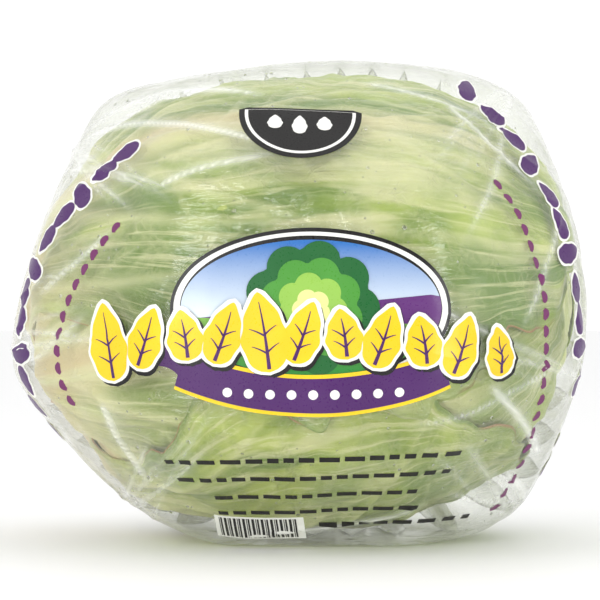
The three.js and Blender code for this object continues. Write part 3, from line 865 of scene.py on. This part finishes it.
def film_surface(d):
    """The film's outer face in direction d, from the head's centre, with its creases."""
    p = film_point(d)
    out = crease_shape(d)[0]
    slack = sum(np.exp(-((np.arccos(np.clip(d @ c, -1, 1)) / size) ** 2)) for c, size in slack_corners)
    ridged = 1 - np.abs(waves(d * MEAN_REACH, 0.019, 31, 12))
    out = out + 0.0007 * np.clip(slack, 0, 1) * (ridged - 0.5)
    out = out + 0.00025 * waves(d * MEAN_REACH, 0.03, 32)
    near = np.arccos(np.clip(d @ GATHER, -1, 1))
    turn = np.arctan2(d @ gather_b, d @ gather_a)
    pleat = np.abs(np.sin(PLEATS / 2 * turn + np.sin(3 * turn) + 1.3 * np.sin(2 * turn + 1))) - 0.5
    out = out + PLEAT_HEIGHT * pleat * np.exp(-((near - 0.1) / 0.26) ** 2) * smooth(0.02, 0.12, near)
    p = p + d * out[..., None]
    p[..., 2] = np.maximum(p[..., 2], -HALF[2] + FOOT_SINK)
    return p


MOST_LAYERS = 7.0  # nearer the neck the film is folded more often than this model shows
film_columns = 420
body_rows = 205
front_axis = -GATHER
front_a, front_b = basis_about(front_axis)
film_turn = np.linspace(0, 2 * math.pi, film_columns, endpoint=False)
spoke = front_a * np.cos(film_turn)[:, None] + front_b * np.sin(film_turn)[:, None]
body_end = math.pi - math.asin(2.6 * NECK_RADIUS / GATHER_DISTANCE)
body_polar = np.linspace(0.004, body_end, body_rows)
forward = front_axis * np.cos(body_polar)[:, None, None]
aside = np.sin(body_polar)[:, None, None]
body_d = unit(forward + spoke[None] * aside)
smooth_rows = film_surface(body_d)
# How far each row lies from the middle of the front, measured along the film.
row_steps = np.linalg.norm(np.diff(smooth_rows, axis=0), axis=-1).mean(1)
row_reach = np.concatenate([[0.0], np.cumsum(row_steps)])
row_girth = np.linalg.norm(smooth_rows - np.roll(smooth_rows, 1, axis=1), axis=-1).sum(1)
# A flat sheet has more film at that reach than goes round the head, and the rest is folded over.
spare = np.clip(2 * math.pi * row_reach / np.maximum(row_girth, 1e-6), 1, MOST_LAYERS)
fold_swing = math.pi / 2 * spare * smooth(1.35, 2.2, spare) / PLEATS
uneven = 2.0 * np.sin(3 * film_turn) + 2.6 * np.sin(2 * film_turn + 1) + 1.1 * np.sin(7 * film_turn + 2)
fold_phase = (PLEATS * film_turn + uneven)[None, :]
folded_turn = film_turn[None, :] + fold_swing[:, None] * np.sin(fold_phase)
folded_spoke = front_a * np.cos(folded_turn)[..., None] + front_b * np.sin(folded_turn)[..., None]
folded_d = unit(forward + folded_spoke * aside)
layer_gap = 0.0006 * smooth(1.35, 2.4, spare)[:, None] * (np.cos(fold_phase) - 1)
folded = film_surface(folded_d) + folded_d * layer_gap[..., None]
folded[..., 2] = np.maximum(folded[..., 2], -HALF[2] + FOOT_SINK)
film_rows = list(folded)


def neck_ring(distance, radius, pleat_depth, ruffle):
    wave = np.abs(np.sin(fold_phase[0] / 2))
    r = radius + pleat_depth * (wave - 1)
    shift = ruffle * (np.sin(7 * film_turn) + 0.6 * np.sin(17 * film_turn + 1))
    return GATHER * (distance + shift)[:, None] + spoke * r[:, None]


body_last = film_rows[-1]
for share in np.linspace(0, 1, 9)[1:]:
    ease = share * share * (3 - 2 * share)
    film_rows.append(body_last * (1 - ease) + neck_ring(NECK_START, NECK_RADIUS - 0.0002, 0.0016, 0.0) * ease)
for share in np.linspace(0, 1, 9)[1:]:
    distance = NECK_START + (NECK_END - NECK_START) * share
    film_rows.append(neck_ring(distance, NECK_RADIUS - 0.0002, 0.0016, 0.0))
for share in np.linspace(0, 1, 17)[1:]:
    radius = NECK_RADIUS + (TAIL_RADIUS - NECK_RADIUS) * share**1.3
    distance = NECK_END + (TAIL_LENGTH - 0.0012) * math.sin(share * math.pi / 2)
    film_rows.append(neck_ring(distance, radius, 0.0016 + 0.0112 * share, 0.0012 * share))
film_points = np.array(film_rows).reshape(-1, 3)
film_faces = grid_faces(len(film_rows), film_columns, closed=True).tolist()
film_faces.append(list(range(film_columns))[::-1])
film_faces = [face[::-1] for face in film_faces]
sheet_polar = np.concatenate([body_polar, body_end + 0.08 * np.arange(1, len(film_rows) - body_rows + 1)])
sheet_map = [sheet_polar[:, None] * np.cos(film_turn), sheet_polar[:, None] * np.sin(film_turn)]
# the crease mask: stress-whitening with a painted highlight along each ridge and a painted veil of light
# beside it
ridge_mask = np.zeros((len(film_rows), film_columns))
ridge_mask[:body_rows] = crease_shape(folded_d)[1]
film = new_piece(
    "film_printed_wrapper", film_points, np.array(film_faces, dtype=object),
    uv=np.stack(sheet_map, -1).reshape(-1, 2),
    masks={"crease": ridge_mask.ravel()},
)


def film_finish():
    finish, tree, milk = new_finish("clear_film")
    place = place_on(tree)
    fog = noise(tree, place, 32.0, 4.0)
    mist = noise(tree, place, 700.0)
    pull = noise(tree, stretched(tree, place, (70.0, 60.0, 330.0)), 1.0, 3.0, 1.2)
    facing = add_node(tree, "ShaderNodeLayerWeight", {"Blend": 0.5}).outputs["Facing"]
    # along the creases the milk is thicker and near white: partly stress-whitening, partly a painted
    # highlight on the ridges
    whitening_and_highlight = mask_of(tree, "crease")
    haze = plus(
        tree,
        times(tree, ramp(tree, fog, 0.4, 0.75), 0.07),
        times(tree, ramp(tree, mist, 0.55, 0.7), 0.03),
        times(tree, maths(tree, "POWER", facing, 2.6), 0.5),
        times(tree, maths(tree, "POWER", whitening_and_highlight, 1.4), 0.6),
        0.02,
    )
    crinkle = ramp(tree, cell_walls(tree, place, 55.0, 30.0, 1.0), 0.22, 0.0)
    crinkle = times(tree, crinkle, ramp(tree, fog, 0.45, 0.65))
    bump = bumps(tree, plus(tree, pull, times(tree, crinkle, 0.5)), 0.6, 0.0016)
    # painted highlight with stress-whitening: the milk's colour goes to near white along the creases
    strain_and_highlight = ramp(tree, whitening_and_highlight, 0.0, 0.6)
    milk_shade = blend_colour(tree, strain_and_highlight, (0.74, 0.75, 0.68, 1), (0.97, 0.98, 0.94, 1))
    tree.links.new(milk_shade, milk.inputs["Base Color"])
    milk.inputs["Roughness"].default_value = 0.3
    tree.links.new(bump, milk.inputs["Normal"])
    clear = add_node(tree, "ShaderNodeBsdfTransparent", {"Color": (0.985, 0.99, 0.975, 1)}).outputs[0]
    given = {"Color": (1, 1, 1, 1), "Roughness": 0.12, "Normal": bump}
    gloss = add_node(tree, "ShaderNodeBsdfAnisotropic", given).outputs[0]
    glance = add_node(tree, "ShaderNodeLayerWeight", {"Blend": 0.5, "Normal": bump}).outputs["Facing"]
    shine = plus(tree, times(tree, maths(tree, "POWER", glance, 4.5), 0.7), 0.045)
    body = add_node(tree, "ShaderNodeMixShader", {0: haze, 1: clear, 2: milk.outputs[0]}).outputs[0]
    body = add_node(tree, "ShaderNodeMixShader", {0: shine, 1: body, 2: gloss}).outputs[0]
    tree.links.new(body, tree.nodes["Material Output"].inputs["Surface"])
    return finish


film.data.materials.append(film_finish())
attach(film, "root")
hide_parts("film_wrapper")

# ---------------------------------------------------------------- print
# Opaque inks on the outside of the film: a round lettuce emblem, a row of yellow leaf shapes, a
# purple banner, purple leaf marks down both sides, a half-round mark, plain bars and a barcode.


def ink_coat_group():
    """What all the inks share: a little unevenness of shade and a finely speckled gloss."""
    tree, given, result = new_effect(
        "ink_coat", {"Shade": "Color", "Lighter": "Color"},
        {"Color": "Color", "Roughness": "Float", "Height": "Float"},
    )
    place = place_on(tree)
    speckle = noise(tree, place, 1500.0)
    uneven = ramp(tree, noise(tree, place, 60.0), 0.3, 0.8)
    tree.links.new(blend_colour(tree, uneven, given["Shade"], given["Lighter"]), result["Color"])
    tree.links.new(ramp(tree, speckle, -0.5, 2.0), result["Roughness"])
    tree.links.new(speckle, result["Height"])
    return tree


ink_coat = ink_coat_group()


def ink_finish(name, shade, fade_to=None):
    finish, tree, surface = new_finish(name)
    lighter = tuple(min(1, c * 1.1 + 0.004) for c in shade[:3]) + (1,)
    given = {"Shade": shade, "Lighter": lighter}
    coat = add_node(tree, "ShaderNodeGroup", given, node_tree=ink_coat).outputs
    ink = blend_colour(tree, mask_of(tree, "fade"), coat["Color"], fade_to) if fade_to else coat["Color"]
    dress(surface, ink, coat["Roughness"], bumps(tree, coat["Height"], 0.1, 0.0002))
    surface.inputs["Specular IOR Level"].default_value = 0.35
    surface.inputs["Coat Weight"].default_value = 0.15
    surface.inputs["Coat Roughness"].default_value = 0.15
    return finish


def mark_frame(x, z, heading=0.0):
    """A place on the front of the film and two directions in it: heading is turned from +X."""
    d = front_direction(x, z)
    p = film_point(d)
    right = unit(film_point(front_direction(x + 0.5, z)) - film_point(front_direction(x - 0.5, z)))
    up = film_point(front_direction(x, z + 0.5)) - film_point(front_direction(x, z - 0.5))
    up = unit(up - (up @ right) * right)
    cos, sin = math.cos(heading), math.sin(heading)
    return p, right * cos + up * sin, up * cos - right * sin


def disc(frame_at, outline, inner=0.0, turns=96, rings=40):
    """A filled outline given as radius by angle, in millimetres, or a ring if inner is above 0."""
    angle = np.linspace(0, 2 * math.pi, turns + 1)
    share = np.linspace(inner, 1, rings)[:, None]
    r = share * outline(angle)[None, :]
    return frame_at, r * np.cos(angle), r * np.sin(angle)


def strip(frame_at, points, half_width, steps=60, across=9):
    """A stripe along a smooth line through points, with its half width by share of length."""
    points = np.array(points, float)
    t = np.linspace(0, 1, steps)
    knots = np.linspace(0, 1, len(points))
    degree = min(len(points) - 1, 3)
    line = np.stack([np.polyval(np.polyfit(knots, points[:, k], degree), t) for k in (0, 1)], -1)
    tangent = unit(np.gradient(line, axis=0))
    side = np.stack([-tangent[:, 1], tangent[:, 0]], -1)
    width = half_width(t)[:, None] * np.linspace(-1, 1, across)[None, :]
    return frame_at, line[:, :1] + side[:, :1] * width, line[:, 1:] + side[:, 1:] * width


def leaf_shape(frame_at, length, half, base=0.0, grow=0.0):
    """A plump leaf standing on base, tip upwards; grow widens it all round for an outline."""
    def width(t):
        plump = np.sin(math.pi * np.clip(t, 0, 1) ** 0.72) ** 0.7
        ends = smooth(0, 0.05, t) * (1 - smooth(0.95, 1, t))
        return half * plump * (1 + 0.05 * np.sin(19 * t)) + grow * ends
    spine = [(0, base - grow), (0, base + length / 2), (0, base + length + 1.4 * grow)]
    return strip(frame_at, spine, width, 40, 11)


FIRST_INK = 0.0002  # how far the lowest ink stands off the film
INK_STEP = 0.00008


def printed(name, shade, layer, patches, fade_to=None, fade=(0, 1)):
    """One colour of ink on the film. Each patch is a frame and grids of millimetres across and up.

    With fade_to, the ink turns to that colour between two heights in millimetres.
    """
    points, faces, fades, start = [], [], [], 0
    lift = FIRST_INK + INK_STEP * layer
    for (p, across, up), a, b in patches:
        place = p + across * (np.asarray(a)[..., None] / 1000) + up * (np.asarray(b)[..., None] / 1000)
        d = unit(place)
        on_film = film_surface(d)
        points.append((on_film + d * lift).reshape(-1, 3))
        fades.append(np.clip((np.asarray(b) - fade[0]) / (fade[1] - fade[0]), 0, 1).ravel())
        faces.append(grid_faces(*place.shape[:2], start=start))
        start += place.shape[0] * place.shape[1]
    masks = {"fade": np.concatenate(fades)}
    piece = new_piece(name, np.concatenate(points), np.concatenate(faces), masks=masks)
    piece.data.materials.append(ink_finish(f"{name}_ink", shade, fade_to))
    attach(piece, "root")
    return piece


DARK = colour(16, 14, 13)
PURPLE = colour(72, 24, 96)
YELLOW = colour(243, 202, 28)
WHITE = colour(240, 240, 234)

emblem = mark_frame(3.5, 1)
OVAL_WIDE = 45.0
OVAL_TALL = 25.0


def oval(shrink):
    """An oval badge's outline, drawn in by shrink millimetres all round."""
    wide, tall = OVAL_WIDE - shrink, OVAL_TALL - shrink
    return lambda a: wide * tall / np.hypot(tall * np.cos(a), wide * np.sin(a))


def scallop(radius, lobes, depth, turn=0.0):
    return lambda a: radius * (1 - depth + depth * np.abs(np.cos(lobes * (a + turn) / 2)) ** 0.7)


LOW_GROUND = 13.0  # how far below the emblem's middle the dark ground's own middle is
low_ground = (emblem[0] - emblem[2] * LOW_GROUND / 1000, emblem[1], emblem[2])


def field(shrink, level, slope):
    """A sloping field's outline inside the oval, measured from the low ground."""
    def outline(a):
        x, y = np.cos(a), np.sin(a)
        wide, tall = OVAL_WIDE - shrink, OVAL_TALL - shrink
        # how far it is from the low ground to the oval along the angle
        k0 = (x / wide) ** 2 + (y / tall) ** 2
        k1 = -2 * y * LOW_GROUND / tall**2
        k2 = (LOW_GROUND / tall) ** 2 - 1
        to_oval = (-k1 + np.sqrt(k1 * k1 - 4 * k0 * k2)) / (2 * k0)
        down = y - slope * x
        return np.where(down > 0, np.minimum(to_oval, level / np.maximum(down, 1e-3)), to_oval)
    return outline


printed("emblem_rim", DARK, 0, [disc(emblem, oval(0), turns=160)])
printed("emblem_line", WHITE, 1, [disc(emblem, oval(1.3), 0.95, turns=160, rings=3)])
printed(
    "emblem_sky", colour(226, 236, 240), 1, [disc(emblem, oval(3.8), turns=160)],
    fade_to=colour(48, 112, 186), fade=(-4, 20),
)
printed("emblem_far_field", colour(96, 46, 116), 3, [disc(low_ground, field(3.8, 13.5, 0.1), turns=160)])
printed(
    "emblem_near_field", colour(40, 132, 48), 4, [disc(low_ground, field(3.8, 9, -0.03), turns=160)],
    fade_to=colour(120, 176, 66), fade=(-6, 9),
)
printed("emblem_outer_leaves", colour(24, 98, 44), 5, [disc(emblem, scallop(21.0, 9, 0.16))])
printed("emblem_middle_leaves", colour(74, 148, 54), 6, [disc(emblem, scallop(16.0, 8, 0.17, 0.3))])
printed("emblem_inner_leaves", colour(146, 192, 80), 7, [disc(emblem, scallop(11, 7, 0.18, 0.1))])
printed("emblem_heart", colour(226, 230, 146), 8, [disc(emblem, scallop(6.0, 5, 0.2, 0.5))])

row_count = 11
row = []
for k in range(row_count):
    share = k / (row_count - 1)
    x = -60 + 122 * share
    z = -5 - 5 * (2 * share - 1) ** 2 - 3 * share
    tall = (25, 16, 20)[0 if k in (0, 4) else 1 + k % 2]
    half = 7.2 if k in (0, 4) else 5.6
    row.append((mark_frame(x, z, 0.24 * (-1) ** k - 0.08), tall, half))


def even(size):
    """The same width or radius all along."""
    return lambda t: size + 0 * t


def moved(frame_at, right, up):
    """The same frame, moved by millimetres."""
    return frame_at[0] + frame_at[1] * right / 1000 + frame_at[2] * up / 1000, frame_at[1], frame_at[2]


printed("leaf_row_shadow", DARK, 10, [
    leaf_shape(moved(f, 0.9, -1.1), tall, half, -tall / 2, 0.9) for f, tall, half in row])
printed("leaf_row_edge", WHITE, 11, [leaf_shape(f, tall, half, -tall / 2, 0.9) for f, tall, half in row])
printed("leaf_row_fill", YELLOW, 12, [leaf_shape(f, tall, half, -tall / 2) for f, tall, half in row])
printed("leaf_row_ribs", PURPLE, 13, [
    strip(f, [(0, -tall / 2 + 1), (0.3, 0), (0, tall / 2 - 3)], lambda t: 0.6 * (1 - 0.8 * t), 30, 3)
    for f, tall, half in row
] + [
    strip(f, [(0, start), (side * 0.32 * half, start + 1.6), (side * 0.6 * half, start + 2.6)],
          lambda t: 0.32 * (1 - 0.7 * t), 10, 3)
    for f, tall, half in row for side in (-1, 1) for start in (-tall * 0.26, -tall * 0.04)
])

banner = mark_frame(4, -22)
bow = [(-42, 3.5), (-20, -2.5), (0, -4), (20, -2.5), (42, 3.5)]
printed("banner_edge", YELLOW, 9, [strip(banner, bow, even(6.6), 60, 8)])
printed("banner_fill", PURPLE, 10, [strip(banner, bow, even(5.4), 60, 8)])
tails = [
    strip(banner, [(side * 39, 4), (side * 44, 8), (side * 51, 9)], lambda t: 4.2 * (1 + 0.15 * t), 12, 6)
    for side in (-1, 1)
]
printed("banner_tails", colour(70, 30, 90), 9, tails)
printed("banner_dots", WHITE, 11, [
    disc(moved(banner, 6.6 * k, 0.045 * k**2 - 3.8), even(1.5), turns=16, rings=4)
    for k in range(-4, 5)
])

half_mark = mark_frame(0, 62, -0.05)


def half_round(radius, flat):
    """A round side below and a flat side above."""
    return lambda a: np.minimum(radius, flat / np.maximum(np.sin(a), 1e-3))


printed("half_mark_ground", DARK, 0, [disc(half_mark, half_round(19.5, 2.2))])
printed("half_mark_line", WHITE, 1, [disc(half_mark, half_round(17.6, 1.4), 0.94, rings=3)])
printed("half_mark_leaves", WHITE, 1, [
    leaf_shape(moved(half_mark, 7.8 * k, 0), 8 - 2 * abs(k), 2.4, -9 + 2 * abs(k)) for k in (-1, 0, 1)
])


def along_arc(places, spacing):
    """Frames spaced along a smooth arc through x, z places on the front, facing along it."""
    places = np.array(places, float)
    knots = np.linspace(0, 1, len(places))
    fits = [np.polyfit(knots, places[:, k], len(places) - 1) for k in (0, 1)]
    t = np.linspace(0, 1, 200)
    line = np.stack([np.polyval(fit, t) for fit in fits], -1)
    run = np.concatenate([[0], np.cumsum(np.hypot(*np.diff(line, axis=0).T))])
    made = []
    for place in np.arange(spacing / 2, run[-1], spacing):
        x, z = (float(np.interp(place, run, line[:, k])) for k in (0, 1))
        nx, nz = (float(np.interp(place + 1, run, line[:, k])) for k in (0, 1))
        made.append(mark_frame(x, z, math.atan2(nz - z, nx - x)))
    return made


outer_marks = (
    along_arc([(-58, -66), (-86, -30), (-88, 8), (-56, 50)], 9.5)
    + along_arc([(50, 74), (76, 44), (90, 0), (84, -58)], 10.5)
)
inner_marks = (
    along_arc([(-72, -32), (-76, -4), (-56, 28)], 5.6)
    + along_arc([(61, 42), (77, 6), (76, -34), (62, -68)], 5.6)
)
for name, shade, layer, grow in (("side_leaf_edges", WHITE, 0, 0.7), ("side_leaves", PURPLE, 1, 0.0)):
    printed(name, shade, layer, [
        leaf_shape((p, up, -along) if k % 3 else (p, along, up), (12.5, 10, 11)[k % 3], 3.2, -6, grow)
        for k, (p, along, up) in enumerate(outer_marks)
    ])


def dash_half_width(t):
    return 1.25 * np.sin(math.pi * np.clip(t, 0.06, 0.94)) ** 0.4


printed("side_dashes", colour(112, 44, 96), 0, [
    strip(f, [(-1.7, -0.5), (0, 0.4), (1.7, -0.5)], dash_half_width, 10, 4) for f in inner_marks
])

bars = []
bar_rows = [(-47, -43, 52), (-53, -39, 45), (-59, -27, 35), (-64.5, -26, 31), (-69.5, 6, 54)]
for line_number, (z, left, right) in enumerate(bar_rows):
    x, k = left, 0
    while x < right:
        wide = 3.2 + 3.4 * (math.sin(3.7 * k + 2.1 * line_number) ** 2)
        f = mark_frame(x + wide / 2, z + 1.5 * math.sin(x / 40))
        bars.append(strip(f, [(-wide / 2, 0), (0, 0), (wide / 2, 0)], even(0.95), 8, 3))
        x += wide + 1.5
        k += 1
printed("plain_bars", DARK, 0, bars)

code = mark_frame(-13, -70)
code_bars = []
x = -13.0
for k in range(26):
    wide = 0.26 + 0.3 * ((k * 7) % 3)
    middle = x + wide / 2
    bar = [(middle, -7), (middle, 0), (middle, 4)]
    code_bars.append(strip(code, bar, even(wide / 2), 8, 2))
    x += wide + 0.24 + 0.2 * ((k * 5) % 3)
printed("barcode_ground", WHITE, 0, [
    strip(code, [(-14.5, -1.5), (0, -1.5), (14.5, -1.5)], even(6.4), 16, 10)])
printed("barcode_bars", DARK, 1, code_bars)

# ---------------------------------------------------------------- closure tape
# A strip of glossy purple plastic tape, sticky on one side. It is wound once round the film's
# gathered neck, and its two ends are stuck together.
tape_finish, tape_tree, tape_surface = new_finish("closure_tape_plastic")
tape_noise = noise(tape_tree, place_on(tape_tree), 260.0, 3.0)
dress(
    tape_surface,
    blend_colour(tape_tree, ramp(tape_tree, tape_noise, 0.3, 0.7), colour(88, 40, 110), colour(112, 62, 134)),
    ramp(tape_tree, tape_noise, -0.3, 2.4),
    bumps(tape_tree, tape_noise, 0.3, 0.0004),
)
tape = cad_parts["closure_tape"]
tape.data.materials.clear()
tape.data.materials.append(tape_finish)

# ---------------------------------------------------------------- condensation
# Fine drops of clear water that cling to the inside of the film. The leaves breathe it out, and
# it gathers in loose patches, most of them on the front.
DROPS = 420
drop_rng = np.random.default_rng(19)
drop_directions = []
while len(drop_directions) < DROPS:
    d = unit(drop_rng.normal(size=3))
    wanted = 0.25 + 0.75 * (d[1] < -0.3)
    cluster = float(waves(d * MEAN_REACH, 0.04, 51))
    if drop_rng.random() < wanted * (0.35 + 0.65 * (cluster > 0.4)) and d @ GATHER < 0.85 and d[2] > -0.8:
        drop_directions.append(d)
drop_points, drop_faces = [], []
ring_turn = np.linspace(0, 2 * math.pi, 10, endpoint=False)
for d in drop_directions:
    radius = 0.00028 + 0.0005 * drop_rng.random() ** 2.5
    centre = film_surface(d[None])[0] - d * radius * 0.3
    a, b = basis_about(d)
    start = len(drop_points)
    drop_points.append(centre + d * radius * 0.5)
    for lean in (0.25, 0.5, 0.75):
        flat = radius * (0.5 if lean < 0.5 else 0.62)
        for turn in ring_turn:
            side = a * math.cos(turn) + b * math.sin(turn)
            outward = side * radius * math.sin(lean * math.pi)
            drop_points.append(centre + outward + d * flat * math.cos(lean * math.pi))
    drop_points.append(centre - d * radius * 0.62)
    n = len(ring_turn)
    for j in range(n):
        k = (j + 1) % n
        drop_faces.append((start, start + 1 + j, start + 1 + k))
        for ring in (0, 1):
            at = start + 1 + ring * n
            drop_faces.append((at + j, at + n + j, at + n + k, at + k))
        drop_faces.append((start + 1 + 2 * n + j, start + 1 + 3 * n, start + 1 + 2 * n + k))
drops = new_piece("condensation_drops", drop_points, np.array(drop_faces, dtype=object))
water, water_tree, water_surface = new_finish("water")
water_surface.inputs["Transmission Weight"].default_value = 1.0
water_surface.inputs["IOR"].default_value = 1.33
water_noise = noise(water_tree, place_on(water_tree), 300.0)
water_tree.links.new(ramp(water_tree, water_noise, 0.2, 12.0), water_surface.inputs["Roughness"])
drops.data.materials.append(water)
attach(drops, "root")


# ---------------------------------------------------------------- floor, light and camera
# A plain pale tabletop and soft studio light from three panels and a bright room. The room is
# darker behind the camera, which looks at the front from slightly above.
FLOOR = 2.0
floor_corners = [(-FLOOR, -FLOOR, 0), (FLOOR, -FLOOR, 0), (FLOOR, FLOOR, 0), (-FLOOR, FLOOR, 0)]
floor_mesh = bpy.data.meshes.new("floor")
floor_mesh.from_pydata(floor_corners, [], [(0, 1, 2, 3)])
floor = bpy.data.objects.new("floor", floor_mesh)
bpy.context.collection.objects.link(floor)
floor_finish, _, floor_surface = new_finish("pale_tabletop")
floor_surface.inputs["Base Color"].default_value = (0.975, 0.975, 0.975, 1)
floor_surface.inputs["Roughness"].default_value = 0.6
floor_mesh.materials.append(floor_finish)

world = bpy.data.worlds.new("studio")
world.use_nodes = True
sky = world.node_tree
backdrop = sky.nodes["Background"]
backdrop.inputs["Strength"].default_value = 1.0
sky_place = add_node(sky, "ShaderNodeTexCoord").outputs["Generated"]
sky_back = add_node(sky, "ShaderNodeSeparateXYZ", {"Vector": sky_place}).outputs["Y"]
room = blend_colour(sky, ramp(sky, sky_back, -0.9, -0.25), (0.22, 0.22, 0.22, 1), (1.1, 1.1, 1.1, 1))
sky.links.new(room, backdrop.inputs["Color"])
bpy.context.scene.world = world


def panel(name, place, target, width, height, watts):
    light = bpy.data.lights.new(name, "AREA")
    light.shape = "RECTANGLE"
    light.size = width
    light.size_y = height
    light.energy = watts
    lamp = bpy.data.objects.new(name, light)
    lamp.location = place
    lamp.rotation_euler = (Vector(target) - Vector(place)).to_track_quat("-Z", "Y").to_euler()
    bpy.context.collection.objects.link(lamp)


panel("key_panel", (-0.3, -0.85, 0.26), CENTRE, 0.4, 0.4, 3.0)
panel("fill_panel", (0.5, -0.7, 0.14), CENTRE, 0.3, 0.2, 1.3)
panel("top_panel", (0.1, 0.25, 0.8), CENTRE, 0.7, 0.5, 0.5)

camera_data = bpy.data.cameras.new("camera")
camera_data.lens = 220
camera_data.sensor_width = 36
camera = bpy.data.objects.new("camera", camera_data)
bpy.context.collection.objects.link(camera)
ELEVATION = math.radians(1.5)
FRAME_ROOM = 1.063398  # the width seen at the head, as a share of the head's own
seen_width = (film_high[0] - film_low[0]) * FRAME_ROOM
distance = seen_width * camera_data.lens / camera_data.sensor_width
aim = Vector((CENTRE[0], CENTRE[1], (film_high[2] - film_low[2]) / 2))
camera.location = aim + Vector((0, -math.cos(ELEVATION), math.sin(ELEVATION))) * distance
camera.rotation_euler = (aim - camera.location).to_track_quat("-Z", "Y").to_euler()
bpy.context.scene.camera = camera
bpy.context.scene.view_settings.view_transform = "Standard"
